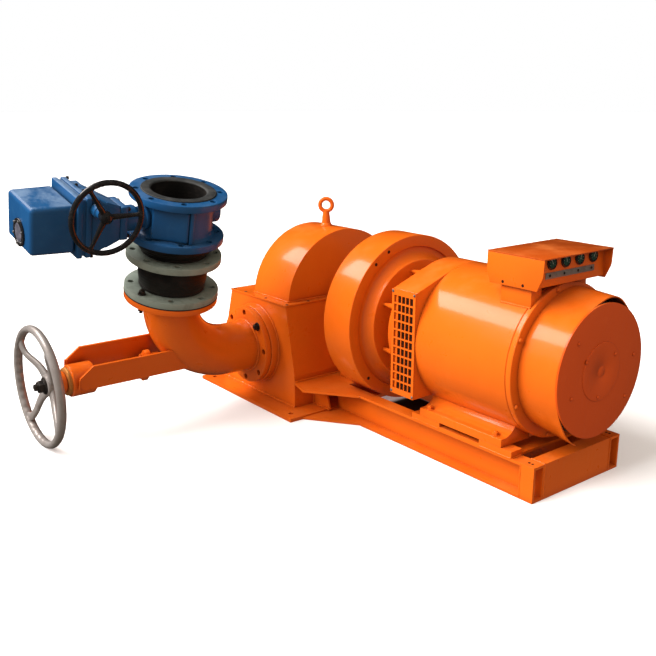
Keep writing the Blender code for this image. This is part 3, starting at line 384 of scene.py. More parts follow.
def makePolishedIron(look):
    # polishing marks run round the wheel
    finish = Finish("polishedIron", Metallic=0.55)
    x, y, z = finish.parts()
    up = z - site["nozzleZ"]
    radius = (x * x + up * up) ** 0.5
    angle = up.maths("ARCTAN2", x)
    ringed = finish.add("ShaderNodeCombineXYZ", {}, radius * look["marks"],
                        angle * look["streaks"], y * look["marks"])
    marks = finish.noise(1.0, 3, 0.6, place=ringed)
    tarnish = finish.noise(15, 5, 0.65, 0.5).fade(0.40, 0.70)
    pits = finish.noise(240, 3, 0.6)
    colour = finish.mix(tarnish * 0.55, look["lit"], look["tarnish"])
    colour = finish.mix((pits > 0.70) * 0.5, colour, look["pit"])
    # painted shade: corners and seams, found by ambient occlusion, darken towards the seam colour
    colour = finish.mix(finish.corners(0.02) * 0.7, colour, look["seam"])
    finish.bump((marks, 0.00012, 0.5), (pits, 0.0003, 0.25))
    return finish.wire(Base_Color=colour, Roughness=0.22 + marks * 0.16 + tarnish * 0.16)


steelLook = {"lit": (0.055, 0.052, 0.050), "film": (0.11, 0.085, 0.065),
             "worn": (0.34, 0.32, 0.30), "boltLit": (0.030, 0.027, 0.026)}


def makeDarkSteel(look, name="darkSteel", lit="lit", shine=0.34):
    finish = Finish(name, Metallic=0.85)
    film = finish.noise(55, 4, 0.65).fade(0.35, 0.7)
    grain = finish.noise(520, 2, 0.5)
    colour = finish.mix(film * 0.6, look[lit], look["film"])
    colour = finish.mix(finish.edges(0.001) * 0.6, colour, look["worn"])
    finish.bump((grain, 0.0002, 0.5), rounding=0.0006)
    return finish.wire(Base_Color=colour, Roughness=shine + film * 0.22)


brassLook = {"lit": (0.80, 0.34, 0.085), "film": (0.44, 0.160, 0.034), "grooves": 5200}


def makeBrass(look):
    # turned across its face, with a brown film
    finish = Finish("turnedBrass", Metallic=0.6)
    grooves = (finish.parts()[1] * look["grooves"]).maths("SINE")
    film = finish.noise(42, 5, 0.65).fade(0.35, 0.68)
    colour = finish.mix(film * 0.75, look["lit"], look["film"])
    finish.bump((grooves, 0.0001, 0.4), rounding=0.0006)
    return finish.wire(Base_Color=colour, Roughness=0.32 + film * 0.25)


alloyLook = {"lit": (0.50, 0.47, 0.45), "deep": (0.34, 0.31, 0.29), "grime": (0.22, 0.16, 0.12)}


def makeBrushedAlloy(look):
    # the plate below the gauges, brushed along Y
    finish = Finish("brushedAlloy", Metallic=0.75)
    brushed = finish.noise(1.0, 3, 0.6, place=finish.stretched((900, 14, 900)))
    grime = finish.noise(34, 4, 0.65).fade(0.4, 0.7)
    colour = finish.mix(brushed, look["deep"], look["lit"])
    colour = finish.mix(grime * 0.4, colour, look["grime"])
    finish.bump((brushed, 0.0001, 0.5), rounding=0.0005)
    return finish.wire(Base_Color=colour, Roughness=0.38 + grime * 0.15)


def makeZinc():
    finish = Finish("zincPlate", Metallic=0.9)
    spangle = finish.add("ShaderNodeTexVoronoi", {}, Vector=finish.place, Scale=170)
    haze = finish.noise(24, 4, 0.6)
    colour = finish.mix(haze, (0.42, 0.42, 0.41), (0.58, 0.57, 0.55))
    finish.bump((spangle, 0.0002, 0.4), rounding=0.0006)
    return finish.wire(Base_Color=colour, Roughness=0.34 + haze * 0.2)


def makeRust():
    finish = Finish("rustySteel", Metallic=0.4)
    scale = finish.noise(160, 4, 0.65)
    colour = finish.mix(scale, (0.085, 0.028, 0.012), (0.20, 0.075, 0.035))
    finish.bump((scale, 0.0004, 0.6))
    return finish.wire(Base_Color=colour, Roughness=0.55 + scale * 0.2)


def makeGaugeGlass():
    finish = Finish("gaugeGlass", Specular_IOR_Level=0.6, Coat_Roughness=0.03, Coat_IOR=1.5)
    smear = finish.noise(90, 4, 0.6)
    colour = finish.mix(smear, (0.008, 0.040, 0.026), (0.016, 0.062, 0.042))
    return finish.wire(Base_Color=colour, Roughness=0.12 + smear * 0.10, Coat_Weight=0.8)


def makeGaugeNeedle():
    finish = Finish("gaugeNeedle")
    dust = finish.noise(200, 3, 0.6)
    colour = finish.mix(dust, (0.30, 0.34, 0.30), (0.40, 0.43, 0.38))
    return finish.wire(Base_Color=colour, Roughness=0.45 + dust * 0.1)


def makePane():
    # scratched grey window of the drive
    finish = Finish("driveWindowPane", Coat_Roughness=0.08, Specular_IOR_Level=0.5)
    haze = finish.noise(60, 4, 0.6)
    colour = finish.mix(haze.fade(0.35, 0.7), (0.060, 0.062, 0.085), (0.135, 0.130, 0.160))
    return finish.wire(Base_Color=colour, Roughness=0.22 + haze * 0.2, Coat_Weight=0.5)


def makeHoleShade():
    # painted shade for the inside of a hole
    finish = Finish("paintedHoleShade", Specular_IOR_Level=0.2)
    shadeNoise = finish.noise(180, 3, 0.6)
    colour = finish.mix(shadeNoise, (0.006, 0.004, 0.003), (0.030, 0.012, 0.006))
    return finish.wire(Base_Color=colour, Roughness=0.7 + shadeNoise * 0.1)


finishes = {
    "orange": makeOrangeEnamel(enamelLook),
    # the dull copy is rougher, and its darker colour is painted shade for the rear disc; the lid copy
    # is darker and rougher
    "orangeDull": makeOrangeEnamel(enamelLook, "orangeDull", "dullShadedLit", 1.6, 0.12),
    "orangeLid": makeOrangeEnamel(enamelLook, "orangeLid", "lidLit", 1.3, 0.16),
    "weld": makeOrangeEnamel(enamelLook, "orangeWeld", grime=0.7, rounded=False),
    "blue": makeBlueEnamel(blueLook), "grey": makeRingPaint(ringLook),
    "rubber": makeRubber(rubberLook), "liner": makeLiner(linerLook),
    "black": makeBlackEnamel(blackLook), "polished": makePolishedIron(ironLook),
    "steel": makeDarkSteel(steelLook),
    "bolt": makeDarkSteel(steelLook, "blackBolt", "boltLit", 0.38),
    "brass": makeBrass(brassLook), "alloy": makeBrushedAlloy(alloyLook), "zinc": makeZinc(),
    "rust": makeRust(), "mesh": makeGuardMesh(guardLook), "gauge": makeGaugeGlass(),
    # the hollow finish is painted shade for holes
    "needle": makeGaugeNeedle(), "pane": makePane(), "hollow": makeHoleShade(),
}
print("finishes wired:", len(finishes))

# the valve disc takes the near-black rubber finish as painted shade at the bottom of the bore
nodeFinishes = {"rear_screen": "mesh", "valve_disc": "rubber"}
for row in frame["record"]["subparts"]:
    node = cadNodes[row["node"]]
    node.data.materials.clear()
    node.data.materials.append(finishes[nodeFinishes.get(row["node"], row["material_slot"])])


meshLook = {"rimSides": 96, "boreSides": 72, "holeSides": 20, "boreFrom": 0.05, "merge": 1e-6,
            "beadStep": 0.006}


def soften(points, closed=False):
    # rounds the corners whose third number is a size
    done, last, steps = [], len(points) - 1, 3
    for k, (x, y, *size) in enumerate(points):
        here = Vector((x, y))
        if not size or (not closed and k in (0, last)):
            done.append((x, y))
            continue
        before = here + (Vector(points[k - 1][:2]) - here).normalized() * size[0]
        after = here + (Vector(points[(k + 1) % len(points)][:2]) - here).normalized() * size[0]
        for s in range(steps + 1):
            t = s / steps
            spot = before * (1 - t) ** 2 + here * (2 * t * (1 - t)) + after * t ** 2
            done.append((spot.x, spot.y))
    return done


def lathe(profile, sides=48, closed=False):
    # spins (radius, height) points round Z; closed joins the last point to the first
    bm = bmesh.new()
    spots = [bm.verts.new((r, 0, h)) for r, h in soften(profile, closed)]
    pairs = list(zip(spots, spots[1:])) + ([(spots[-1], spots[0])] if closed else [])
    edges = [bm.edges.new(pair) for pair in pairs]
    bmesh.ops.spin(bm, geom=spots + edges, axis=(0, 0, 1), cent=(0, 0, 0), angle=tau,
                   steps=sides, use_merge=True)
    bmesh.ops.remove_doubles(bm, verts=bm.verts, dist=meshLook["merge"])
    return bm


def cutPlate(outline, holes, low, high, soft=0.0015):
    # plate between two heights; outline is a radius or points, holes are (x, y, radius)
    bm = bmesh.new()
    if isinstance(outline, list):
        spots = [bm.verts.new((x, y, low)) for x, y in soften(outline, True)]
        for pair in zip(spots, spots[1:] + spots[:1]):
            bm.edges.new(pair)
    else:
        bmesh.ops.create_circle(bm, segments=meshLook["rimSides"], radius=outline,
                                matrix=shift(0, 0, low))
    rim = {(round(v.co.x, 5), round(v.co.y, 5)) for v in bm.verts}
    for x, y, radius in holes:
        sides = meshLook["boreSides" if radius > meshLook["boreFrom"] else "holeSides"]
        bmesh.ops.create_circle(bm, segments=sides, radius=radius, matrix=shift(x, y, low))
    bmesh.ops.triangle_fill(bm, use_beauty=True, use_dissolve=False, edges=bm.edges[:])
    grown = bmesh.ops.extrude_face_region(bm, geom=bm.faces[:])
    lifted = [item for item in grown["geom"] if isinstance(item, bmesh.types.BMVert)]
    bmesh.ops.translate(bm, verts=lifted, vec=(0, 0, high - low))
    bmesh.ops.recalc_face_normals(bm, faces=bm.faces)
    if soft:
        outer = [e for e in bm.edges if e.calc_face_angle(0) > 1
                 and abs(e.verts[0].co.z - e.verts[1].co.z) < meshLook["merge"]
                 and all((round(v.co.x, 5), round(v.co.y, 5)) in rim for v in e.verts)]
        bmesh.ops.bevel(bm, geom=outer, offset=soft, segments=2, profile=0.5, affect="EDGES",
                        material=-1, clamp_overlap=True)
    return bm


def block(low, high, soft=0.0, segments=3):
    bm = bmesh.new()
    bmesh.ops.create_cube(bm, size=1)
    bmesh.ops.scale(bm, verts=bm.verts, vec=[b - a for a, b in zip(low, high)])
    bmesh.ops.translate(bm, verts=bm.verts, vec=[(a + b) / 2 for a, b in zip(low, high)])
    if soft:
        bmesh.ops.bevel(bm, geom=bm.edges[:], offset=soft, segments=segments, profile=0.5,
                        affect="EDGES", material=-1, clamp_overlap=True)
    return bm


def taper(low, high, near, far, soft, segments=4):
    # box along Z whose two ends have their own (x, x, y, y)
    bm = block((-1, -1, 0), (1, 1, 1))
    for vert in bm.verts:
        top = vert.co.z > 0.5
        x0, x1, y0, y1 = far if top else near
        vert.co = (x1 if vert.co.x > 0 else x0, y1 if vert.co.y > 0 else y0, high if top else low)
    bmesh.ops.bevel(bm, geom=bm.edges[:], offset=soft, segments=segments, profile=0.5,
                    affect="EDGES", material=-1, clamp_overlap=True)
    return bm


def holeRing(circle, radius, phase, count=8):
    angles = [radians(phase) + tau * k / count for k in range(count)]
    return [(circle * cos(a), circle * sin(a), radius) for a in angles]


def spread(count, circle, height=0.0, phase=0.0):
    # spots on a circle, each turned outwards; phase is in steps of the circle
    return [turned(360 * (k + phase) / count) @ shift(circle, 0, height) for k in range(count)]


def hoop(radius, bar, sides=72, around=14, stretch=1.0):
    ring = [(radius + bar * cos(tau * k / around), stretch * bar * sin(tau * k / around))
            for k in range(around)]
    return lathe(ring, sides, closed=True)


def addShape(target, shape, *spots):
    # puts a copy of shape into target at each spot
    mesh = bpy.data.meshes.new("shape")
    shape.to_mesh(mesh)
    shape.free()
    for spot in spots or (Matrix.Identity(4),):
        copy = mesh.copy()
        copy.transform(spot)
        target.from_mesh(copy)
        bpy.data.meshes.remove(copy)
    bpy.data.meshes.remove(mesh)
    return target


def placed(shape, *spots):
    return addShape(bmesh.new(), shape, *spots)


def makePiece(name, bm, finish, body="base", sharp=35, replaces=()):
    bmesh.ops.remove_doubles(bm, verts=bm.verts, dist=meshLook["merge"])
    bmesh.ops.recalc_face_normals(bm, faces=bm.faces)
    mesh = bpy.data.meshes.new(name)
    bm.to_mesh(mesh)
    bm.free()
    mesh.shade_smooth()
    mesh.set_sharp_from_angle(angle=radians(sharp))
    mesh.materials.append(finishes[finish])
    piece = bpy.data.objects.new(name, mesh)
    bpy.context.scene.collection.objects.link(piece)
    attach(piece, body)
    for node in replaces:
        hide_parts(node)
    return piece


def peg(radius, low, high, edge=0.0, sides=20):
    # a solid round with a chamfered top edge
    top = [(radius, high - edge), (radius - edge, high)] if edge else [(radius, high)]
    return lathe([(0, low), (radius, low), *top, (0, high)], sides)


boltLook = {"rise": 0.0012, "chamfer": 0.16, "washer": 0.62, "washerThick": 0.002,
            "thread": 0.30, "lead": 0.001, "edge": 0.0004}


def hexHead(across, height, washer=0.0, tip=0.0):
    # bolt head with a chamfered top, a washer below it and a stub of thread above
    bm = bmesh.new()
    corner, top = across / 3 ** 0.5, height + boltLook["rise"]
    bmesh.ops.create_cone(bm, cap_ends=True, segments=6, radius1=corner, radius2=corner,
                          depth=height)
    bmesh.ops.translate(bm, verts=bm.verts, vec=(0, 0, top - height / 2))
    crown = [e for e in bm.edges if all(v.co.z > height for v in e.verts)]
    bmesh.ops.bevel(bm, geom=crown, offset=height * boltLook["chamfer"], segments=2, profile=0.5,
                    affect="EDGES", material=-1)
    reach = washer or across * boltLook["washer"]
    addShape(bm, peg(reach, 0, boltLook["washerThick"], boltLook["edge"]))
    if tip:
        lead = boltLook["lead"]
        addShape(bm, peg(across * boltLook["thread"], top - lead, top + tip, lead, 12))
    return bm


def domeHead(radius, height):
    brim = 0.001
    arc = [(radius * cos(pi / 2 * k / 5), brim + (height - brim) * sin(pi / 2 * k / 5))
           for k in range(6)]
    return lathe([(0, 0), (radius * 1.25, 0), (radius * 1.25, brim)] + arc, 16)


def pit(radius, sides=18):
    # a disc of painted shade at the bottom of a small hole, just proud of the face around it
    return peg(radius, -0.0010, 0.0002, sides=sides)


def rolled(steps, around, place):
    # rolls a grid into a closed bar; place(step, turn) says where each vertex goes
    bm = bmesh.new()
    bmesh.ops.create_grid(bm, x_segments=steps, y_segments=around, size=1)
    for vert in bm.verts:
        step = round((vert.co.x + 1) / 2 * steps)
        vert.co = place(step, round((vert.co.y + 1) / 2 * around) % around * tau / around)
    bmesh.ops.remove_doubles(bm, verts=bm.verts, dist=1e-7)
    bmesh.ops.holes_fill(bm, edges=[e for e in bm.edges if e.is_boundary], sides=0)
    return bm


def tube(path, radius, around=8, wobble=0.0):
    # a round bar along a path, without twist
    last = len(path) - 1
    ways = [(path[min(k + 1, last)] - path[max(k - 1, 0)]).normalized() for k in range(last + 1)]
    sides = [ways[0].orthogonal().normalized()]
    for before, after in zip(ways, ways[1:]):
        sides.append(before.rotation_difference(after) @ sides[-1])

    def place(step, turn):
        size = radius * (1 + wobble * noise.noise(path[step] * 90))
        up = ways[step].cross(sides[step])
        return path[step] + sides[step] * (size * cos(turn)) + up * (size * sin(turn))

    return rolled(last, around, place)


def seamBead(target, start, end, size, around=6, wobble=0.4):
    # a bead of weld along a straight seam
    start, end = Vector(start), Vector(end)
    last = max(2, int((end - start).length / meshLook["beadStep"]))
    path = [start.lerp(end, k / last) for k in range(last + 1)]
    return addShape(target, tube(path, size, around, wobble))


def ringBead(target, spot, radius, height, size, around=8, wobble=0.35):
    # a bead of weld round a pipe or a boss
    last = max(7, int(tau * radius / meshLook["beadStep"]))
    path = [spot @ onRing(radius, tau * k / last, height).translation for k in range(last + 1)]
    return addShape(target, tube(path, size, around, wobble))


def spokePoint(angle, radius, rise, across):
    return Vector((radius * cos(angle) - across * sin(angle),
                   radius * sin(angle) + across * cos(angle), rise))


wheelLook = {"radius": 0.222, "bar": 0.014, "stretch": 1.15, "grips": 38, "gripDepth": 0.0034,
             "spokes": 4, "firstSpoke": 137, "swing": 0.06, "curl": 0.08, "hubBack": -0.054,
             "hubFront": -0.020, "hubRadius": 0.040, "socket": 0.030, "spokeFoot": 0.020,
             "spokeHalf": 0.0135, "flare": 0.012, "flareFrom": 0.72, "spokeThick": 0.0085,
             "footThick": 0.003}


def makeSpearWheel(look):
    middle = look["radius"] - look["bar"]
    bm = hoop(middle, look["bar"], 190, 20, look["stretch"])
    for vert in bm.verts:
        # finger grips on the inner side of the rim
        flat = hypot(vert.co.x, vert.co.y)
        inside = max(0.0, (middle - flat) / look["bar"]) ** 1.5
        wave = 0.5 + 0.5 * cos(look["grips"] * atan2(vert.co.y, vert.co.x))
        pull = 1 + look["gripDepth"] * inside * wave / flat
        vert.co.x *= pull
        vert.co.y *= pull
    for k in range(look["spokes"]):
        addShape(bm, curvedSpoke(radians(look["firstSpoke"]) + k * tau / look["spokes"], middle, look))
    back, front, wide, socket = look["hubBack"], look["hubFront"], look["hubRadius"], look["socket"]
    addShape(bm, lathe([(0, back), (wide - 0.003, back), (wide, back + 0.003),
                        (wide, front - 0.006), (wide - 0.002, front - 0.002),
                        (wide - 0.006, front), (socket + 0.001, front), (socket, front - 0.001),
                        (0, front - 0.001)], 48))
    bm.transform(wheelFace)
    makePiece("spearWheelPolished", bm, "polished", "spear_drive", 50, ["spear_wheel"])


def curvedSpoke(first, outer, look):
    # a flat bar that flares where it meets the hub and the rim
    steps, foot = 28, (look["hubBack"] + look["hubFront"]) / 2

    def place(step, turn):
        t = step / steps
        radius = look["spokeFoot"] + (outer - look["spokeFoot"]) * t
        angle = first + look["swing"] * sin(pi * t) - look["curl"] * sin(tau * t)
        atRim = max(0.0, t - look["flareFrom"]) ** 1.6 / 0.13
        half = look["spokeHalf"] + look["flare"] * (atRim + (1 - t) ** 3)
        thick = look["spokeThick"] + look["footThick"] * (1 - t)
        flat = abs(cos(turn)) ** 0.7 * (1 if cos(turn) > 0 else -1)
        rise = foot * (1 - t * t * (3 - 2 * t)) + thick * sin(turn)
        return spokePoint(angle, radius, rise, half * flat)

    return rolled(steps, 16, place)


rodLook = {"start": 0.8703, "pitch": 0.0028, "turns": 65, "root": 0.0112, "crest": 0.0120,
           "plain": (1.053, 1.195), "plainRadius": 0.0118}


def makeSpearRod(look):
    # the rod with its threaded stretch between gland and sleeve
    profile = [(0, look["start"])]
    for k in range(2 * look["turns"]):
        profile.append((look["root" if k % 2 else "crest"], look["start"] + look["pitch"] / 2 * k))
    near, far = look["plain"]
    profile += [(look["plainRadius"], near), (look["plainRadius"], far), (0, far)]
    bm = lathe(profile, 20)
    bm.transform(alongNozzle)
    makePiece("spearRodThreaded", bm, "steel", "spear_drive")


nutLook = {"washer": (0.030, -0.0197, -0.0155, 0.001), "hex": (0.040, 0.020), "seat": -0.0157,
           "rodEnd": (0.0125, 0.003, 0.018, 0.002)}


def makeSpearNut(look):
    # a washer in the hub's socket, the nut on it and the rod's end
    bm = peg(*look["washer"], 32)
    addShape(bm, hexHead(*look["hex"]), shift(0, 0, look["seat"]))
    addShape(bm, peg(*look["rodEnd"]))
    bm.transform(wheelFace)
    makePiece("spearWheelNut", bm, "steel", "spear_drive", 30, ["spear_nut"])


makeSpearWheel(wheelLook)
makeSpearRod(rodLook)
makeSpearNut(nutLook)
print("spear wheel made")

handLook = {"along": 0.3265, "aside": 0.135, "up": 0.061, "radius": 0.1285, "bar": 0.0095,
            "spokes": 3, "firstSpoke": 32, "spokeFoot": 0.010, "dish": 0.008, "half": 0.0062,
            "flare": 0.006, "flareFrom": 0.85, "thick": 0.0060}


def makeHandWheel(look):
    spot = axes(stemFoot + outward * look["along"] + legSide * look["aside"]
                + legUp * look["up"], legUp, outward, legSide)
    middle, steps = look["radius"] - look["bar"], 16
    bm = hoop(middle, look["bar"], 96, 16)

    def place(step, turn):
        t = step / steps
        radius = look["spokeFoot"] + (middle - look["spokeFoot"]) * t
        atRim = max(0.0, t - look["flareFrom"]) / (1 - look["flareFrom"])
        half = look["half"] + 0.0058 * (1 - t) ** 1.5 + look["flare"] * atRim
        thick = look["thick"] + 0.0025 * (1 - t)
        return spokePoint(0, radius, -look["dish"] * (1 - t) + thick * sin(turn), half * cos(turn))

    spokes = [turned(look["firstSpoke"] + 360 * k / look["spokes"]) for k in range(look["spokes"])]
    addShape(bm, rolled(steps, 12, place), *spokes)
    addShape(bm, lathe([(0, -0.0295), (0.016, -0.0295), (0.017, -0.024), (0.021, -0.016),
                        (0.0215, -0.002), (0.019, 0.004), (0.013, 0.006), (0.012, 0.0085),
                        (0.008, 0.0095), (0, 0.0095)], 40))
    bm.transform(spot)
    makePiece("driveHandWheelBlack", bm, "black", "drive_hand_wheel", 50, ["hand_wheel"])


makeHandWheel(handLook)
print("hand wheel made")

nozzleLook = {"pipe": 0.103, "bend": 0.276, "top": 0.303, "wide": 0.172, "thick": 0.025,
              "circle": 0.1475, "hole": 0.0115, "phase": 17, "bossThick": 0.034,
              "bossWide": 0.161, "bossCircle": 0.137, "into": 0.004, "ringTop": 0.3286,
              "bossBead": 0.0042, "nearBead": 0.0052, "topBead": 0.0055,
              "bossBolt": (0.024, 0.013, 0.0175, 0.003), "bolt": (0.022, 0.0125, 0.0155, 0.006),
              "nut": (0.022, 0.014, 0.0155, 0.009)}
housingFace = facingNear(0, site["housingY"] - 0.0003, site["nozzleZ"])


def elbowPath(look):
    # out of the housing, round a quarter turn and up into the flange
    up, bend, steps = legUp, look["bend"], 40
    path = [Vector((0, site["housingY"] - look["bossThick"] - look["into"], site["nozzleZ"]))]
    centre = legFoot - outward * bend + up * bend
    for k in range(steps + 1):
        angle = pi / 2 * k / steps
        path.append(centre - up * (bend * cos(angle)) + outward * (bend * sin(angle)))
    path.append(legFoot + up * (look["top"] - look["into"]))
    return path


def makeInletElbow(look):
    boss = lathe([(0, 0), (look["bossWide"], 0), (look["bossWide"], look["bossThick"], 0.004),
                  (0, look["bossThick"])], 96)
    boss.transform(housingFace)
    makePiece("housingBossRound", boss, "orange", replaces=["housing_inlet_boss"])
    bm = tube(elbowPath(look), look["pipe"], 64)
    low, under = look["bossThick"] + 0.0006, look["top"] - look["thick"]
    high = low + look["thick"]
    addShape(bm, cutPlate(look["bossWide"] - 0.004, holeRing(look["bossCircle"], look["hole"], 0),
                          low, high, 0.003), housingFace)
    addShape(bm, cutPlate(look["wide"], holeRing(look["circle"], look["hole"], look["phase"]),
                          under, look["top"], 0.003), alongLeg)
    makePiece("inletElbowWelded", bm, "orange", replaces=["inlet_elbow"])
    beads = bmesh.new()
    ringBead(beads, housingFace, look["pipe"] + 0.001, high + 0.001, look["nearBead"])
    ringBead(beads, alongLeg, look["pipe"] + 0.001, under - 0.001, look["topBead"])
    ringBead(beads, housingFace, look["bossWide"] + 0.0005, 0.001, look["bossBead"], 6)
    makePiece("inletElbowWelds", beads, "weld", sharp=60)
    # painted shade: dark bottoms, so that the empty bolt holes read as deep
    deep = placed(peg(look["hole"] - 0.0004, 0.0002, 0.0005),
                  *(housingFace @ onRing(look["bossCircle"], tau * k / 8, look["bossThick"])
                    for k in range(8)))
    makePiece("inletElbowHoleShade", deep, "hollow")


def makeFlangeBolts(look):
    # only one bolt shows at each of the elbow's flanges
    high = look["bossThick"] + 0.0006 + look["thick"]
    bm = placed(hexHead(*look["bossBolt"]),
                housingFace @ onRing(look["bossCircle"], radians(45), high))
    angle, under = radians(look["phase"] - 90), look["top"] - look["thick"]
    addShape(bm, hexHead(*look["bolt"]),
             alongLeg @ onRing(look["circle"], angle, look["ringTop"]))
    addShape(bm, hexHead(*look["nut"]),
             alongLeg @ onRing(look["circle"], angle, under) @ turned(180, "X"))
    makePiece("inletFlangeBolts", bm, "bolt", sharp=30)


makeInletElbow(nozzleLook)
makeFlangeBolts(nozzleLook)

stackLook = {"lower": (0.3035, 0.3285, 17), "upper": (0.4378, 0.4630, 22), "bore": 0.1184,
             "inside": 0.100, "foot": 0.3033, "neck": 0.118, "top": 0.5185,
             "lip": (0.1705, 0.0028), "wire": (0.1225, 0.0011, 0.4335)}


def makeRubberStack(look):
    for name in ("lower", "upper"):
        low, high, phase = look[name]
        holes = [(0, 0, look["bore"])] + holeRing(nozzleLook["circle"], nozzleLook["hole"], phase)
        ring = cutPlate(nozzleLook["wide"], holes, low, high, 0.0022)
        ring.transform(alongLeg)
        makePiece(name + "JointRing", ring, "grey", replaces=["joint_ring_" + name])
    # the joint bulges between the rings, with a clamped fold above each of them
    n, foot, top = look["neck"], look["foot"], look["top"]
    bm = lathe([(look["inside"], foot), (n, foot), (n, 0.331), (n + 0.003, 0.333, 0.001),
                (n + 0.003, 0.339, 0.001), (n + 0.0015, 0.341), (n + 0.005, 0.359, 0.010),
                (n + 0.0085, 0.385, 0.010), (n + 0.0078, 0.408, 0.006), (n + 0.0035, 0.423, 0.003),
                (n + 0.0045, 0.4255, 0.001), (n + 0.0025, 0.430), (n, 0.4345), (n, 0.473),
                (n + 0.012, 0.481, 0.004), (n + 0.014, 0.4855, 0.002), (n + 0.0145, 0.4885, 0.001),
                (n + 0.0195, 0.4915, 0.004), (n + 0.020, 0.5045), (n + 0.017, top, 0.003),
                (look["inside"], top)], 96)
    bm.transform(alongLeg)
    # the rubber's lip is squeezed out a little above the elbow's flange
    radius, bar = look["lip"]
    lip = placed(hoop(radius, bar, 96, 8), alongLeg @ shift(0, 0, look["lower"][0]))
    makePiece("rubberJointLip", lip, "rubber")
    makePiece("rubberJointRibbed", bm, "rubber", replaces=["rubber_joint"])
    radius, bar, height = look["wire"]
    wires = placed(hoop(radius, bar, 96, 8), alongLeg @ shift(0, 0, height))
    makePiece("rubberJointWire", wires, "steel")


makeRubberStack(stackLook)

valveLook = {"low": 0.519, "high": 0.693, "thick": 0.025, "waist": 0.128, "phase": 24,
             "bore": 0.100, "ribs": (-8, 172, 112), "panels": (-38, 142),
             "panel": (0.106, 0.137, 0.064), "rib": (0.110, 0.151, 0.0075),
             "bosses": ((-90, 0.1283), (90, 0.158)), "bossRadius": 0.043,
             "plugOut": 0.156, "plug": (0.017, 0.006, 0.010), "screwRing": 0.031,
             "screw": (0.009, 0.0045, 0.0055)}


def makeValveBody(look):
    bm = bmesh.new()
    holes = [(0, 0, look["bore"])] + holeRing(nozzleLook["circle"], nozzleLook["hole"],
                                             look["phase"])
    for low in (look["low"], look["high"] - look["thick"]):
        addShape(bm, cutPlate(nozzleLook["wide"], holes, low, low + look["thick"], 0.0025))
    low, high = look["low"] + look["thick"] - 0.001, look["high"] - look["thick"] + 0.001
    wide, bore = look["waist"], look["bore"] + 0.001
    addShape(bm, lathe([(bore, low), (wide + 0.010, low), (wide + 0.0065, low + 0.004, 0.003),
                        (wide, low + 0.012, 0.006), (wide, high - 0.012, 0.006),
                        (wide + 0.0065, high - 0.004, 0.003), (wide + 0.010, high),
                        (bore, high)], 96, closed=True))
    # flat panels that stiffen the sides of the waist, and the ribs beside them
    near, far, half = look["panel"]
    addShape(bm, block((near, -half, low + 0.004), (far, half, high - 0.008), 0.009, 4),
             *map(turned, look["panels"]))
    near, far, half = look["rib"]
    addShape(bm, block((near, -half, low - 0.004), (far, half, high + 0.004), 0.004),
             *map(turned, look["ribs"]))
    # bosses of the disc's stem, towards the drive and away from it
    wide = look["bossRadius"]
    for turn, reach in look["bosses"]:
        boss = lathe([(0, 0.100), (wide, 0.100), (wide, reach - 0.002, 0.003),
                      (0, reach - 0.002)], 40)
        addShape(bm, boss, turned(turn) @ facingEnd(0, 0, site["stem"]))
    bm.transform(alongLeg)
    makePiece("valveBodyCast", bm, "blue", replaces=["valve_body", "valve_top_flange"])
    far = alongLeg @ turned(90) @ facingEnd(look["plugOut"], 0, site["stem"])
    caps = placed(hexHead(*look["plug"]), far)
    addShape(caps, hexHead(*look["screw"]),
             *(far @ spot for spot in spread(4, look["screwRing"], 0, 0.5)))
    makePiece("valveBodyCapScrews", caps, "bolt", sharp=30)


def makeValveSeat(look):
    top, bore = look["high"] + 0.0003, look["bore"]
    seat = lathe([(bore - 0.0025, top - 0.030), (bore - 0.0025, top + 0.001, 0.002),
                  (bore + 0.004, top + 0.0040, 0.002), (0.124, top + 0.0040, 0.001),
                  (0.1265, top + 0.0034, 0.001), (0.129, top + 0.0040, 0.001),
                  (0.1325, top + 0.0030, 0.002), (0.1325, top), (bore, top)], 96, closed=True)
    seat.transform(alongLeg)
    makePiece("valveSeatMoulded", seat, "liner", replaces=["valve_seat_ring"])
    wall = lathe([(bore - 0.0026, look["low"] + 0.001), (bore - 0.0026, top - 0.002),
                  (bore + 0.0002, top - 0.002), (bore + 0.0002, look["low"] + 0.001)], 96, True)
    wall.transform(alongLeg)
    makePiece("valveBoreLining", wall, "rubber")


makeValveBody(valveLook)
makeValveSeat(valveLook)
print("inlet, rubber joint and valve made")

driveLook = {"pad": (0.212, 0.234), "padSize": (-0.058, 0.052, -0.058, 0.060), "gearEnd": 0.340,
             "foot": (-0.054, 0.047, -0.058, 0.058), "gear": (-0.160, 0.045, -0.098, 0.090),
             "collarS": (0.3403, 0.390), "collar": (-0.174, 0.053, -0.108, 0.100), "groove": 0.006,
             "coverS": (0.3903, 0.540), "cover": (-0.171, 0.043, -0.091, 0.075), "draft": 0.003,
             "ribs": (-0.046, 0.040), "ribEnd": 0.286, "window": (-0.054, -0.037),
             "windowR": 0.047, "screwRing": 0.845, "handS": 0.3265, "handH": 0.061, "handB": 0.105,
             "ears": (-0.1672, -0.0905, -0.0305, 0.0462), "padBolts": (-0.047, 0.048),
             "padBolt": (0.014, 0.008, 0.0095, 0.003), "screw": (0.0065, 0.0022, 0.0042),
             "plugs": (-0.112, -0.060, -0.010), "plugS": 0.300, "plug": (0.019, 0.009, 0.0125),
             "oilPlugAt": (0.020, 0.305), "oilPlug": (0.016, 0.007, 0.0105)}


def shrunk(size, inset):
    x0, x1, y0, y1 = size
    return x0 + inset, x1 - inset, y0 + inset, y1 - inset


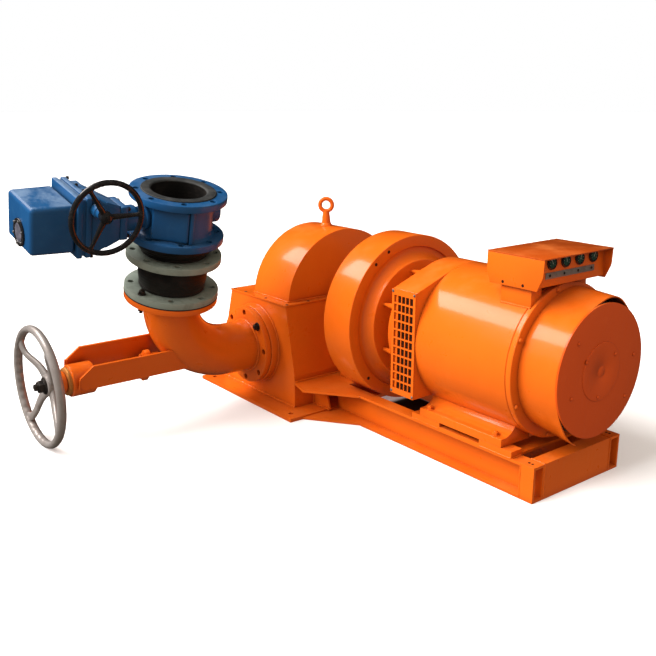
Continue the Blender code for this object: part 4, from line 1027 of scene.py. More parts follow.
def makeGearCase(look):
    near, far = look["pad"]
    end, size, pad = look["gearEnd"], look["gear"], look["padSize"]
    case = taper(far - 0.002, end - 0.022, look["foot"], size, 0.010, 5)
    addShape(case, taper(end - 0.034, end, size, size, 0.006, 3))
    addShape(case, taper(near, far + 0.004, pad, pad, 0.004, 3))
    # the stem's neck between the valve and the pad
    addShape(case, lathe([(0, 0.126), (0.046, 0.126), (0.046, 0.136, 0.002), (0.038, 0.138, 0.002),
                          (0.036, 0.160, 0.006), (0.045, 0.170, 0.003), (0.045, 0.214),
                          (0, 0.214)], 56))
    # the hand wheel's arbor turns in a boss that ends just short of it
    start, end = look["collar"][1] + 0.0003, look["handB"] - 0.0006
    addShape(case, lathe([(0, 0.030), (0.0125, 0.030), (0.0125, start), (0.022, start),
                          (0.022, start + 0.030, 0.002), (0.018, start + 0.032, 0.002),
                          (0.0175, end), (0, end)], 40),
             facingEnd(0, look["handH"], look["handS"]))
    # stiffening ribs between the pad and the case
    for x in look["ribs"]:
        addShape(case, taper(far, look["ribEnd"], (x - 0.004, x + 0.004, -0.060, 0.060),
                             (x - 0.004, x + 0.004, -0.084, 0.080), 0.003, 2))
    case.transform(alongStem)
    makePiece("gearCaseCast", case, "blue", replaces=["gear_case"])


def makeDriveCover(look):
    near, far = look["collarS"]
    size, slim = look["collar"], shrunk(look["collar"], look["groove"])
    collar = taper(near, near + 0.020, size, size, 0.005)
    addShape(collar, taper(near + 0.012, near + 0.040, slim, slim, 0.004))
    addShape(collar, taper(near + 0.030, far, size, size, 0.005))
    collar.transform(alongStem)
    makePiece("driveCollarStepped", collar, "blue", replaces=["drive_collar"])
    near, far = look["coverS"]
    cover = taper(near, far, look["cover"], shrunk(look["cover"], look["draft"]), 0.015, 7)
    cover.transform(alongStem)
    makePiece("driveCoverCast", cover, "blue", replaces=["drive_cover"])


def makeDriveWindow(look):
    spot = alongStem @ shift(*look["window"], look["coverS"][1] + 0.0003)
    wide = look["windowR"]
    rim = lathe([(0, 0), (wide, 0), (wide, 0.0045, 0.0015), (wide - 0.006, 0.006, 0.001),
                 (wide * 0.70, 0.006, 0.0008), (wide * 0.68, 0.0035), (0, 0.0035)], 64)
    makePiece("driveWindowRim", placed(rim, spot), "black", replaces=["drive_window"])
    glass = lathe([(0, 0.0034), (wide * 0.67, 0.0034), (wide * 0.67, 0.0040),
                   (wide * 0.5, 0.0046, 0.002), (0, 0.0050)], 48)
    makePiece("driveWindowGlass", placed(glass, spot), "pane")
    screws = placed(hexHead(*look["screw"]),
                    *(spot @ turn for turn in spread(6, wide * look["screwRing"], 0.0056, 0.3)))
    makePiece("driveWindowScrews", screws, "zinc", sharp=30)


def makeDriveScrews(look):
    d0, d1 = look["collar"][2:]
    facingBack = turned(180, "X")
    # cap screws through the collar's ears, seen from the valve's side
    head = lathe([(0, 0), (0.0058, 0), (0.0058, 0.0078, 0.001), (0.0030, 0.0078),
                  (0.0030, 0.0040), (0, 0.0040)], 18)
    bm = placed(head, *(alongStem @ shift(x, y, look["collarS"][0]) @ facingBack
                        for x in look["ears"] for y in (d0 + 0.0035, d1 - 0.0035)))
    # four bolts hold the drive on the valve's pad
    addShape(bm, hexHead(*look["padBolt"]),
             *(alongStem @ shift(x, y, look["pad"][0]) @ facingBack
               for x in look["ribs"] for y in look["padBolts"]))
    makePiece("driveCapScrews", bm, "bolt", sharp=30)
    # cable plugs below the case, and an oil plug on the side
    side, low = look["gear"][0] + 0.0005, look["gear"][2] + 0.0005
    plugs = placed(hexHead(*look["plug"]),
                   *(alongStem @ facingNear(x, low, look["plugS"]) for x in look["plugs"]))
    addShape(plugs, hexHead(*look["oilPlug"]),
             alongStem @ axes((side, *look["oilPlugAt"]), (0, 1, 0), (0, 0, 1), (-1, 0, 0)))
    makePiece("drivePlugs", plugs, "bolt", sharp=30)


makeGearCase(driveLook)
makeDriveCover(driveLook)
makeDriveWindow(driveLook)
makeDriveScrews(driveLook)
print("motor drive made")

yokeLook = {"gland": 0.042, "glandS": (0.780, 0.829), "nose": 0.033, "end": 0.870,
            "ear": (0.067, 0.026), "earS": (0.828, 0.846), "nuts": (-0.050, 0.050),
            "sleeve": (1.052, 1.142), "sleeveR": 0.0595, "bushR": 0.052, "bushEnd": 1.154,
            "bushMouth": 0.030, "rod": 0.0128, "nut": (0.017, 0.010, 0.0125, 0.010),
            "side": 0.0685, "seam": ((0.004, 1.126), (0.046, 1.1265)), "bead": 0.0035}


def makeGland(look):
    near, far = look["glandS"]
    wide, nose, end = look["gland"], look["nose"], look["end"]
    gland = peg(wide, near, far, sides=56)
    u, v = look["ear"]
    ear = cutPlate([(v, u * 0.62, 0.02), (v * 0.5, u, 0.012), (-v * 0.5, u, 0.012),
                    (-v, u * 0.62, 0.02), (-wide - 0.001, 0, 0.03), (-v, -u * 0.62, 0.02),
                    (-v * 0.5, -u, 0.012), (v * 0.5, -u, 0.012), (v, -u * 0.62, 0.02),
                    (wide + 0.001, 0, 0.03)], [], *look["earS"], 0.002)
    addShape(gland, ear)
    addShape(gland, lathe([(0, 0.845), (nose, 0.845), (nose, end - 0.001, 0.004),
                           (0.016, end - 0.001), (0.0135, end - 0.004), (0, end - 0.004)], 48))
    gland.transform(alongYoke)
    makePiece("spearGlandCast", gland, "orange", replaces=["spear_gland"])
    studs = placed(hexHead(*look["nut"]),
                   *(alongYoke @ shift(0, y, look["earS"][1]) for y in look["nuts"]))
    makePiece("spearGlandNuts", studs, "orange", sharp=30)


def makeSleeve(look):
    near, far = look["sleeve"]
    wide, rod = look["sleeveR"], look["rod"]
    sleeve = lathe([(rod, near), (wide - 0.003, near), (wide, near + 0.003, 0.001),
                    (wide, far - 0.004, 0.001), (wide - 0.004, far), (rod, far)], 72, True)
    sleeve.transform(alongYoke)
    makePiece("yokeSleeveTurned", sleeve, "orange", replaces=["yoke_sleeve"])
    near, far, wide, mouth = far + 0.0003, look["bushEnd"], look["bushR"], look["bushMouth"]
    bush = lathe([(rod, near), (wide, near), (wide, far - 0.0025, 0.002), (wide - 0.006, far, 0.002),
                  (mouth, far), (mouth - 0.003, far - 0.002), (rod, far - 0.002)], 64, True)
    bush.transform(alongYoke)
    makePiece("yokeBushTurned", bush, "brass", replaces=["yoke_bush"])
    # the carrier turns with the wheel, so it is placed from the wheel's face
    rod, near, far = 0.0132, -0.0917, -0.0545
    carrier = lathe([(rod, near), (0.036, near), (0.040, -0.0885, 0.002), (0.040, -0.060, 0.002),
                     (0.036, far), (rod, far)], 56, True)
    carrier.transform(wheelFace)
    makePiece("spearCarrierTurned", carrier, "orange", "spear_drive",
              replaces=["spear_carrier"])


def makeYokeWelds(look):
    beads = bmesh.new()
    for side in (-look["side"], look["side"]):
        start, end = (alongYoke @ Vector((side, *spot)) for spot in look["seam"])
        seamBead(beads, start, end, look["bead"], 6, 0.3)
    makePiece("yokeWelds", beads, "weld", sharp=60)


makeGland(yokeLook)
makeSleeve(yokeLook)
makeYokeWelds(yokeLook)
print("yoke made")

hoodLook = {"x": (-0.068, 0.177), "radius": 0.290, "seat": 0.4233, "bead": 0.0042, "eyeX": 0.050,
            "eyeTurn": -40, "eyeRing": 0.0255, "eyeBar": 0.0085, "eyeNeck": 0.062}


def alongX(low, bm):
    # lifts a shape drawn in Y and Z from its own plane onto the shaft's direction
    bm.transform(facingEnd(low, 0, 0))
    return bm


def archOver(radius, start, steps):
    # points of an arch round the shaft, from one side to the other
    angles = [start + (pi - 2 * start) * k / steps for k in range(steps + 1)]
    return [(radius * cos(a), site["shaftZ"] + radius * sin(a)) for a in angles]


def makeHood(look):
    low, high = look["x"]
    start = asin((look["seat"] - site["shaftZ"]) / look["radius"])
    hood = cutPlate(archOver(look["radius"], start, 96), [], 0, high - low, 0.0028)
    makePiece("turbineHoodRolled", alongX(low, hood), "orange",
              replaces=["turbine_hood"])
    y, z, bead = look["radius"] * cos(start) + 0.001, look["seat"] + 0.001, look["bead"]
    beads = bmesh.new()
    for x in (low - 0.001, high + 0.001):
        seamBead(beads, (x, -y, z), (x, y, z), bead, 7)
    for side in (-y, y):
        seamBead(beads, (low - 0.001, side, z), (high + 0.001, side, z), bead, 7)
    makePiece("hoodWelds", beads, "weld", sharp=60)


def makeLiftingEye(look):
    x, neck, ring = look["eyeX"], look["eyeNeck"], look["eyeRing"]
    foot = site["shaftZ"] + look["radius"] + 0.0003
    bm = lathe([(0, 0), (0.024, 0), (0.0235, 0.0055, 0.002), (0.019, 0.010, 0.004),
                (0.0165, 0.034, 0.010), (0.0125, neck), (0, neck)], 40)
    bm.transform(shift(x, 0, foot))
    turn = radians(look["eyeTurn"])
    facing, up = Vector((cos(turn), sin(turn), 0)), Vector((0, 0, 1))
    addShape(bm, hoop(ring, look["eyeBar"], 56, 20),
             axes((x, 0, foot + neck + ring - 0.002), up, facing.cross(up), facing))
    makePiece("liftingEyeForged", bm, "orange", replaces=["lifting_eye"])
    bead = ringBead(bmesh.new(), shift(x, 0, foot), 0.0245, 0.0004, 0.0028, 6, 0.3)
    makePiece("liftingEyeWeld", bead, "weld", sharp=60)


housingLook = {"ledge": 0.423, "half": 0.327, "foot": (-0.268, 0.265), "plateTop": 0.014,
               "screwX": (-0.178, -0.095, 0.054, 0.203), "screwHalf": 0.3155,
               "endScrews": (0.105, 0.211), "deckY": 0.2335, "deckX": (0.2655, 0.369),
               "wallX": 0.2665, "wallZ": (0.018, 0.108), "deckZ": 0.1215, "footBead": 0.0050,
               "sideBead": 0.0038, "wallBead": 0.0036, "deckBead": 0.0040}


def makeLedgeScrews(look):
    head = lathe([(0, -0.0005), (0.0062, -0.0005), (0.0062, 0.0012, 0.0008),
                  (0.0048, 0.0020, 0.0006), (0.0030, 0.0020), (0.0026, 0.0006), (0, 0.0006)], 16)
    row = look["screwX"]
    spots = [(x, look["screwHalf"]) for x in row] + [(x, y) for x in (row[0], row[-1])
                                                     for y in look["endScrews"]]
    bm = placed(head, *(shift(x, sign * y, look["ledge"]) for sign in (-1, 1) for x, y in spots))
    makePiece("ledgeScrews", bm, "rust", sharp=40)


def makeHousingWelds(look):
    beads = bmesh.new()
    x0, x1 = look["foot"][0] - 0.001, look["foot"][1] + 0.001
    half, z = look["half"] + 0.001, look["plateTop"] + 0.001
    seamBead(beads, (x0, -half, z), (x0, half, z), look["footBead"], 7)
    wall, (low, high) = look["wallX"], look["wallZ"]
    for sign in (-1, 1):
        seamBead(beads, (x0, sign * half, z), (x1, sign * half, z), look["footBead"], 7)
        y, (near, far) = sign * look["deckY"], look["deckX"]
        seamBead(beads, (near, y, z), (far, y, z), look["sideBead"])
        seamBead(beads, (wall, y, low), (wall, y, high), look["wallBead"])
    # along the deck where it meets the housing
    half, z = look["half"] - 0.003, look["deckZ"]
    seamBead(beads, (wall, -half, z), (wall, half, z), look["deckBead"], 7)
    makePiece("housingWelds", beads, "weld", sharp=60)


makeHood(hoodLook)
makeLiftingEye(hoodLook)
makeLedgeScrews(housingLook)
makeHousingWelds(housingLook)
print("housing made")

flyLook = {"x": (0.439, 0.589), "radius": 0.316, "step": 0.2725, "boss": 0.228, "bossX": 0.622,
           "recess": 0.045, "hub": 0.085, "bore": 0.0353, "holes": (116, 130, -138, -4, 10),
           "holeCircle": 0.297}


def makeFlywheel(look):
    left, right = look["x"]
    web, hub, bore = left + look["recess"], look["hub"], look["bore"]
    step, boss, wide, end = look["step"], look["boss"], look["radius"], look["bossX"]
    bm = lathe([(bore, left - 0.010), (hub, left - 0.010, 0.003), (hub + 0.006, web, 0.010),
                (step - 0.010, web, 0.010), (step, left, 0.002), (wide, left, 0.0035),
                (wide, right, 0.0035), (step + 0.001, right, 0.0015),
                (step, right - 0.0085, 0.002), (step - 0.018, right - 0.0065, 0.004),
                (boss + 0.014, right + 0.003, 0.010), (boss + 0.0025, end - 0.010, 0.006),
                (boss, end, 0.003), (bore, end)], 160, True)
    bm.transform(alongShaft)
    makePiece("flywheelTurned", bm, "orange", "rotor", replaces=["flywheel"])
    # dark discs of painted shade stand in for the rim's holes
    hole = lathe([(0, -0.001), (0.0062, -0.001), (0.0062, 0.0002), (0.0058, 0.0003),
                  (0, 0.0002)], 18)
    holes = placed(hole, *(alongShaft @ turned(a) @ shift(look["holeCircle"], 0, right)
                           for a in look["holes"]))
    makePiece("flywheelHoleShade", holes, "hollow", "rotor")


couplingLook = {"x": (0.692, 0.728), "radius": 0.222, "hub": 0.075, "end": 0.7485, "pins": 7,
                "circle": 0.196, "tip": 0.0065, "root": 0.0125, "from": 0.6223,
                "shaft": (0.030, 0.735, 0.773)}


def makeCoupling(look):
    low, high = look["x"]
    wide, hub, end = look["radius"], look["hub"], look["end"]
    bm = lathe([(0, low), (wide, low, 0.003), (wide, high - 0.017, 0.003),
                (hub + 0.004, high - 0.014, 0.004), (hub, end, 0.003), (0, end)], 128)
    start, tip, root, brim = look["from"], look["tip"], look["root"], look["root"] + 0.005
    pin = lathe([(0, start), (tip, start), (tip, start + 0.012, 0.004), (root, low - 0.014, 0.006),
                 (root, low - 0.008, 0.001), (brim, low - 0.007, 0.001), (brim, low + 0.001),
                 (0, low + 0.001)], 24)
    steps = [pi + (k + 0.5) * tau / look["pins"] for k in range(look["pins"])]
    addShape(bm, pin, *(onRing(look["circle"], angle) for angle in steps))
    addShape(bm, peg(*look["shaft"], sides=40))
    bm.transform(alongShaft)
    makePiece("couplingDriven", bm, "orange", "rotor", replaces=["generator_coupling"])


makeFlywheel(flyLook)
makeCoupling(couplingLook)
print("rotor made")

generatorLook = {"drive": (0.754, 0.869), "barrel": (0.8693, 1.283), "radius": 0.257,
                 "seam": 1.2625, "shaftHole": 0.0310, "boxY": 0.255, "boxZ": (0.205, 0.581),
                 "footX": (0.8693, 1.235), "footZ": 0.170, "footIn": 0.085, "footHalf": 0.224,
                 "footLow": 0.1423, "footBolts": (0.900, 1.196), "boltY": 0.2065,
                 "footCurve": ((0.200, 0.0), (0.196, 0.002), (0.182, 0.007), (0.170, 0.016),
                               (0.161, 0.028), (0.1565, 0.042)),
                 "footBolt": (0.019, 0.0105, 0.015, 0.002), "domes": 7, "domeCircle": 0.2455,
                 "dome": (0.0078, 0.0065), "grilleDome": (0.0042, 0.0034),
                 "weld": (0.1575, 0.2105, 0.354), "bead": 0.0035}


def makeDriveEnd(look):
    y, (low, high), (start, end) = look["boxY"], look["boxZ"], look["drive"]
    rise = high - site["shaftZ"]
    tangent = atan2(rise, y) + acos(look["radius"] / hypot(y, rise))
    outline = [(y, low), (y, high, 0.004), *archOver(look["radius"], tangent, 40),
               (-y, high, 0.004), (-y, low)]
    case = cutPlate(outline, [(0, site["shaftZ"], look["shaftHole"])], 0, end - start, 0.0018)
    makePiece("generatorDriveEndFolded", alongX(start, case), "orange",
              replaces=["generator_drive_end"])


def makeBarrel(look):
    start, end = look["barrel"]
    wide, seam = look["radius"], look["seam"]
    bm = lathe([(0, start), (wide, start, 0.001), (wide, seam - 0.0022, 0.001),
                (wide - 0.0026, seam - 0.0008), (wide - 0.0026, seam + 0.0008),
                (wide, seam + 0.0022, 0.001), (wide, end, 0.0035), (0, end)], 160)
    bm.transform(alongShaft)
    (near, far), half, inner = look["footX"], look["footHalf"], look["footIn"]
    low, top = look["footLow"], look["footZ"]
    for sign in (-1, 1):
        outline = [(sign * half, low), (sign * half, top, 0.003)]
        outline += [(sign * y, top + rise, 0.004) for y, rise in look["footCurve"]]
        outline += [(sign * 0.150, top + 0.070), (sign * inner, top + 0.020), (sign * inner, low)]
        addShape(bm, alongX(near, cutPlate(outline, [], 0, far - near, 0.0016)))
    makePiece("generatorBarrelRolled", bm, "orange", replaces=["generator_barrel"])


def makeBarrelDetails(look):
    heads = placed(hexHead(*look["footBolt"]),
                   *(shift(x, sign * look["boltY"], look["footZ"]) for sign in (-1, 1)
                     for x in look["footBolts"]))
    makePiece("generatorFootBolts", heads, "orange", sharp=30)
    ring = spread(look["domes"], look["domeCircle"], look["barrel"][1])
    domes = placed(domeHead(*look["dome"]), *(alongShaft @ spot for spot in ring))
    makePiece("generatorEndDomes", domes, "orange")
    beads = bmesh.new()
    start, (y, z, reach) = look["footX"][0] + 0.003, look["weld"]
    for side in (-y, y):
        seamBead(beads, (start, side, z), (start + reach, side, z), look["bead"])
    makePiece("generatorFootWelds", beads, "weld", sharp=60)


def makeGrilleDetails(look):
    (x0, x1), (low, high) = look["drive"], look["boxZ"]
    for side, sign in (("Near", -1), ("Far", 1)):
        y = sign * (look["boxY"] + 0.0001)
        # painted shade: a dark sheet behind the grille's slots stands in for the shade inside
        shadeSheet = block((x0 + 0.0284, min(y, y + sign * 0.0001), low + 0.0185),
                     (x1 - 0.0085, max(y, y + sign * 0.0001), high - 0.0185))
        makePiece("grilleDarkness" + side, shadeSheet, "hollow")
    face = look["boxY"] + 0.0058
    spots = [axes((x, sign * face, z), (1, 0, 0), (0, 0, -sign), (0, sign, 0))
             for sign in (-1, 1) for x in (x0 + 0.0055, x1 - 0.0055)
             for z in (low + 0.008, high - 0.008)]
    makePiece("grilleScrews", placed(domeHead(*look["grilleDome"]), *spots), "zinc")


cowlLook = {"x": (1.2833, 1.4158), "start": 0.227, "tight": 0.2165, "bulge": 0.0225, "peak": 75,
            "flap": 0.031, "corner": 250, "open": 22, "thick": 0.0038, "crest": 0.022}


def makeCowl(look):
    low, high = look["x"]
    first, last = radians(look["open"] - 90), radians(270 - look["open"])
    peak, corner = radians(look["peak"]), radians(look["corner"])
    bm = bmesh.new()
    bmesh.ops.create_grid(bm, x_segments=120, y_segments=8, size=1)
    for vert in bm.verts:
        angle = first + (last - first) * (vert.co.x + 1) / 2
        t = (vert.co.y + 1) / 2
        # the sheet stands proud at its crest and flares at the open corner
        near, away = max(cos(angle - peak), 0), max(cos(angle - corner), 0)
        mouth = look["tight"] + look["bulge"] * near ** 16 + look["flap"] * away ** 8
        seam = look["start"] + look["crest"] * near ** 8
        radius = seam + (mouth - seam) * t - look["thick"]
        vert.co = alongShaft @ onRing(radius, angle, low + (high - low) * t).translation
    bmesh.ops.recalc_face_normals(bm, faces=bm.faces)
    middle = next(iter(bm.faces))
    centre = middle.calc_center_median()
    away = Vector((0, centre.y, centre.z - site["shaftZ"]))
    thick = look["thick"] if middle.normal.dot(away) < 0 else -look["thick"]
    bmesh.ops.solidify(bm, geom=bm.faces[:], thickness=-thick)
    makePiece("rearCowlRolled", bm, "orange", replaces=["rear_cowl"])


discLook = {"x": (1.4163, 1.4234), "radius": 0.2155, "cover": 0.094, "raised": 0.0024,
            "ring": (0.0155, 0.0210), "dome": (0.0055, 0.0048),
            "domes": ((-0.1255, 0.512), (0.170, 0.425), (-0.142, 0.343), (0.142, 0.290),
                      (0.0635, 0.446), (-0.082, 0.446), (-0.010, 0.320))}


def makeRearDisc(look):
    low, high = look["x"]
    wide, cover, top = look["radius"], look["cover"], high + look["raised"]
    inner, outer = look["ring"]
    bm = lathe([(0, low), (wide, low, 0.001), (wide, high, 0.0016), (cover + 0.0006, high),
                (cover, top, 0.0010), (cover - 0.008, top, 0.001), (outer, top),
                (outer - 0.0015, top - 0.0010), (inner + 0.0015, top - 0.0010), (inner, top),
                (0, top)], 128)
    bm.transform(alongShaft)
    # the disc's darker enamel is painted shade
    makePiece("rearDiscTurned", bm, "orangeDull", replaces=["rear_disc"])
    domes = bmesh.new()
    for y, z in look["domes"]:
        base = top - 0.0001 if hypot(y, z - site["shaftZ"]) < cover else high
        addShape(domes, domeHead(*look["dome"]), facingEnd(base, y, z))
    makePiece("rearDiscScrews", domes, "orangeDull")


makeDriveEnd(generatorLook)
makeBarrel(generatorLook)
makeBarrelDetails(generatorLook)
makeGrilleDetails(generatorLook)
makeCowl(cowlLook)
makeRearDisc(discLook)
print("generator made")

terminalLook = {"x": (1.101, 1.3235), "y": (-0.181, 0.163), "top": 0.755, "low": 0.6545,
                "lid": 0.004, "base": 0.661, "shoulder": 0.055, "panel": (1.297, 1.290),
                "cheek": 0.004, "gauges": (-0.107, -0.0394, 0.030, 0.0996), "gaugeZ": 0.7322,
                "plate": (-0.137, 0.106, 0.6845, 0.7040),
                "screws": (-0.117, -0.047, 0.0216, 0.0907),
                "holes": ((1.1691, 0.6642), (1.2473, 0.6642)),
                "knob": (0.0036, 0.0030), "knockout": 0.0050, "bead": 0.0028,
                "neck": (1.154, 1.272, -0.168, -0.120), "neckDrop": 0.072, "neckFoot": 0.5965}


def makeTerminalBox(look):
    (x0, x1), (y0, y1), base = look["x"], look["y"], look["base"]
    low, rim = look["low"], look["top"] - look["lid"] - 0.0003
    shoulder, thick = look["top"] - look["shoulder"], look["cheek"]
    cheek = [(x0 + 0.002, shoulder - 0.008, 0.006), (x0 + 0.015, low, 0.005),
             (x1 - 0.023, low, 0.003), (x1 - 0.003, shoulder, 0.008), (x1 - 0.001, rim),
             (x0 + 0.002, rim)]
    inner = [(x0 + 0.0025, shoulder - 0.008, 0.005), (x0 + 0.0145, base, 0.004),
             (look["panel"][0], base, 0.003), (look["panel"][1], rim - 0.0002),
             (x0 + 0.0025, rim - 0.0002)]
    bm, upright = bmesh.new(), facingNear(0, 0, 0)
    for y in (y0, y1 - thick):
        addShape(bm, cutPlate(cheek, [], -(y + thick), -y, 0.0008), upright)
    addShape(bm, cutPlate(inner, [], -(y1 - 0.0035), -(y0 + 0.0035), 0), upright)
    makePiece("terminalBoxFolded", bm, "orange", replaces=["terminal_box"])
    lid = block((x0, y0, look["top"] - look["lid"]), (x1, y1, look["top"]), 0.0011, 2)
    makePiece("terminalLidFolded", lid, "orangeLid", replaces=["terminal_lid"])
    # the neck reaches out over the near side of the barrel, with a weld at its foot
    x0, x1, y0, y1 = look["neck"]
    neck = block((x0, y0, base - look["neckDrop"]), (x1, y1, base - 0.0003), 0.001, 2)
    side, foot = y0 - 0.0005, look["neckFoot"]
    seamBead(neck, (x0, side, foot), (x1, side, foot), look["bead"], 8, 0.0)
    makePiece("terminalNeckNear", neck, "orange")


def onPanel(look, y, z, out=0.0):
    # a spot on the leaning gauge panel
    low, high = look["panel"]
    tall = look["top"] - look["lid"] - look["base"]
    up = Vector((high - low, 0, tall)).normalized()
    normal = Vector((0, 1, 0)).cross(up)
    spot = Vector((low + (high - low) * (z - look["base"]) / tall, y, z))
    return axes(spot + normal * out, (0, 1, 0), up, normal)


def makeGauges(look):
    spots = [onPanel(look, y, look["gaugeZ"], -0.0005) for y in look["gauges"]]
    bezel = lathe([(0, 0), (0.0215, 0), (0.0215, 0.0030, 0.001), (0.0195, 0.0070, 0.0015),
                   (0.0165, 0.0078, 0.0006), (0.0155, 0.0050), (0, 0.0050)], 40)
    makePiece("gaugeBezels", placed(bezel, *spots), "black")
    dial = lathe([(0, 0.0049), (0.0153, 0.0049), (0.0153, 0.0055), (0.009, 0.0062, 0.002),
                  (0, 0.0064)], 32)
    makePiece("gaugeDials", placed(dial, *spots), "gauge")
    needles = bmesh.new()
    for k, spot in enumerate(spots):
        hand = block((-0.0008, -0.004, 0.0062), (0.0008, 0.0115, 0.0068), 0.0002, 1)
        addShape(needles, hand, spot @ Matrix.Rotation(0.5 - 0.35 * k, 4, "Z"))
        mark = block((-0.0004, 0.0118, 0.0056), (0.0004, 0.0142, 0.0060))
        addShape(needles, mark, *(spot @ turned(-120 + 40 * tick) for tick in range(7)))
    makePiece("gaugeNeedles", needles, "needle")


def makePanelPlate(look):
    y0, y1, z0, z1 = look["plate"]
    wide, tall, middle = (y1 - y0) / 2, (z1 - z0) / 2, (z0 + z1) / 2
    strip = block((-wide, -tall, -0.0005), (wide, tall, 0.0018), 0.0008, 2)
    strip.transform(onPanel(look, (y0 + y1) / 2, middle))
    makePiece("terminalPlate", strip, "alloy")
    knobs = placed(domeHead(*look["knob"]),
                   *(onPanel(look, y, middle, 0.0016) for y in look["screws"]))
    makePiece("terminalPlateScrews", knobs, "bolt")
    # the knockouts are discs of painted shade
    pits = placed(pit(look["knockout"]),
                  *(facingNear(x, look["y"][0], z) for x, z in look["holes"]))
    makePiece("terminalKnockoutShade", pits, "hollow")


makeTerminalBox(terminalLook)
makeGauges(terminalLook)
makePanelPlate(terminalLook)
print("terminal box made")

frameLook = {"end": 1.369, "half": 0.224, "height": 0.120, "depth": 0.053, "bead": 0.0028,
             "deck": (0.360, 0.545), "cross": (0.831, 1.278), "crossY": (0.176, 0.222),
             "pads": ((0.835, 0.960), (1.147, 1.276)), "holeX": (1.345, 1.332), "holeY": 0.201,
             "cornerBead": 0.0026, "crossBead": 0.0034, "hole": 0.0048}


def makeFrameDetails(look):
    beads, bead = bmesh.new(), look["bead"]
    half, end, high = look["half"], look["end"], look["height"]
    top, start = high + 0.0002, end - look["depth"]
    for sign in (-1, 1):
        # the end channel meets the rails along the deck and up the corner
        inner, outer = sign * (half - look["depth"]), sign * (half + 0.001)
        seamBead(beads, (start, inner, top), (end - 0.001, inner, top), bead)
        face, thin = end + 0.0002, look["cornerBead"]
        seamBead(beads, (face, inner, 0.010), (face, inner, high - 0.002), thin)
        corner = (start + 0.0005, sign * (half - 0.001))
        seamBead(beads, (*corner, 0.008), (*corner, high - 0.006), bead)
        # the flared deck, the cross members and the generator's pads
        near, far = look["deck"]
        seamBead(beads, (near, outer, high - 0.0045), (far, outer, high - 0.0045), bead)
        near, far = look["crossY"]
        for x in look["cross"]:
            seamBead(beads, (x, sign * near, top + 0.0005), (x, sign * far, top + 0.0005),
                     look["crossBead"])
        edge = sign * (half - 0.0005)
        for near, far in look["pads"]:
            seamBead(beads, (near, edge, top), (far, edge, top), thin, 6, 0.5)
    makePiece("frameWelds", beads, "weld", sharp=60)
    # the small holes are discs of painted shade
    pits = placed(pit(look["hole"], 14), *(shift(x, sign * look["holeY"], high)
                                     for x in look["holeX"] for sign in (-1, 1)))
    makePiece("frameHoleShade", pits, "hollow")


makeFrameDetails(frameLook)
print("frame made")

view = {"place": (2.854, -2.186, 1.22), "turn": 51.936, "tip": 74.622, "lens": 46.489,
        "sensor": 36}
# the box on the floor under the frame, given as middle, half length and half width, is painted shadow
lightLook = {"floorGlow": 0.20, "shadeUnderFrame": (0.86, 0.42, 0.16), "below": 0.56, "above": 1.08,
             "behind": (-0.72, 0.52, 0.46), "dim": 0.12, "seen": 1.0, "mirrored": 0.08,
             "fill": (1.0, 0.86, 0.73), "sun": 5.6, "sunFrom": (-0.25, -0.74, 0.62),
             "sunWide": 46, "window": 144, "windowSize": (4.0, 1.7),
             "windowTint": (1.0, 0.93, 0.90), "windowFrom": (-2.2, -2.1, 3.8),
             "windowTo": (-1.2, 0.6, 0.4)}


def makeStage(look):
    floor = bmesh.new()
    bmesh.ops.create_circle(floor, cap_ends=True, segments=96, radius=60)
    bmesh.ops.translate(floor, verts=floor.verts, vec=(0, 0, -0.0005))
    mesh = bpy.data.meshes.new("paleFloor")
    floor.to_mesh(mesh)
    floor.free()
    ground = bpy.data.objects.new("paleFloor", mesh)
    bpy.context.scene.collection.objects.link(ground)
    finish = Finish("paleFloor", Roughness=0.95, Specular_IOR_Level=0.0)
    paper = finish.mix(finish.noise(3, 2, 0.5), (0.84, 0.84, 0.84), (0.86, 0.86, 0.86))
    # painted shadow: the ground inside the frame is made dark and does not glow, standing in for the
    # shade under the machine
    x, y, _ = finish.parts()
    middle, long, wide = look["shadeUnderFrame"]
    inside = ((x - middle).maths("ABSOLUTE").fade(long, long + 0.04, 1, 0)
              * y.maths("ABSOLUTE").fade(wide, wide + 0.04, 1, 0))
    paper = finish.mix(inside, paper, (0.02, 0.017, 0.015))
    glow = finish.mix(inside, (1, 1, 1), (0, 0, 0))
    finish.shader.inputs["Emission Strength"].default_value = look["floorGlow"]
    mesh.materials.append(finish.wire(Base_Color=paper, Emission_Color=glow))
    # white paper that takes the shadow but doesn't throw its glare back at the machine
    ground.visible_diffuse = False
    ground.visible_glossy = False


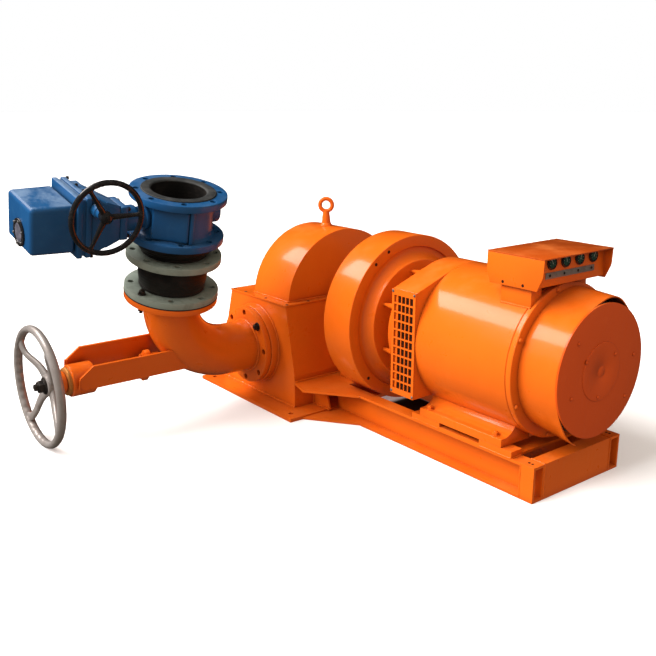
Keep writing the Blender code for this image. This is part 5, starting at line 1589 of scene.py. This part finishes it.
def makeWorld(look):
    # what the lens sees is plain white; what lights the machine is dim below and brighter above
    world = bpy.data.worlds.new("paleRoom")
    world.use_nodes = True
    room = Wiring(world.node_tree)
    way = room.add("ShaderNodeTexCoord", {}, out="Generated")
    height = room.parts(way)[2].fade(-0.5, 0.9, look["below"], look["above"])
    # the room is darker behind the machine, where its top faces mirror it
    behind = room.add("ShaderNodeVectorMath", {"operation": "DOT_PRODUCT"}, way, look["behind"],
                      out="Value")
    lens = room.add("ShaderNodeLightPath", {}, out="Is Camera Ray")
    mirror = room.add("ShaderNodeLightPath", {}, out="Is Glossy Ray")
    lit = (height * behind.fade(0.05, 0.85, 1, look["dim"])
           * mirror.fade(0, 1, 1, look["mirrored"]))
    shade = room.tree.nodes["Background"]
    room.plug(shade.inputs["Strength"], lens.fade(0, 1, lit, look["seen"]))
    room.plug(shade.inputs["Color"], room.mix(lens, look["fill"], (1, 1, 1)))
    bpy.context.scene.world = world


def addLamp(name, kind, place, target, strength, mirrored=True, **settings):
    lamp = bpy.data.lights.new(name, kind)
    lamp.energy = strength
    for label, value in settings.items():
        setattr(lamp, label, value)
    holder = bpy.data.objects.new(name, lamp)
    holder.location = place
    holder.rotation_euler = (Vector(target) - Vector(place)).to_track_quat("-Z", "Y").to_euler()
    holder.visible_glossy = mirrored
    bpy.context.scene.collection.objects.link(holder)


def makeLights(look):
    addLamp("broadSun", "SUN", Vector(look["sunFrom"]) * 8, (0, 0, 0), look["sun"], False,
            angle=radians(look["sunWide"]))
    wide, tall = look["windowSize"]
    addLamp("highWindow", "AREA", look["windowFrom"], look["windowTo"], look["window"],
            shape="RECTANGLE", size=wide, size_y=tall, color=look["windowTint"])


def makeCamera(look):
    camera = bpy.data.objects.new("viewCamera", bpy.data.cameras.new("viewCamera"))
    camera.data.lens, camera.data.sensor_width = look["lens"], look["sensor"]
    camera.location = look["place"]
    camera.rotation_euler = (radians(look["tip"]), 0, radians(look["turn"]))
    bpy.context.scene.collection.objects.link(camera)
    bpy.context.scene.camera = camera


makeStage(lightLook)
makeWorld(lightLook)
makeLights(lightLook)
makeCamera(view)
bpy.context.scene.view_settings.view_transform = "Standard"
print("stage, light and camera set")
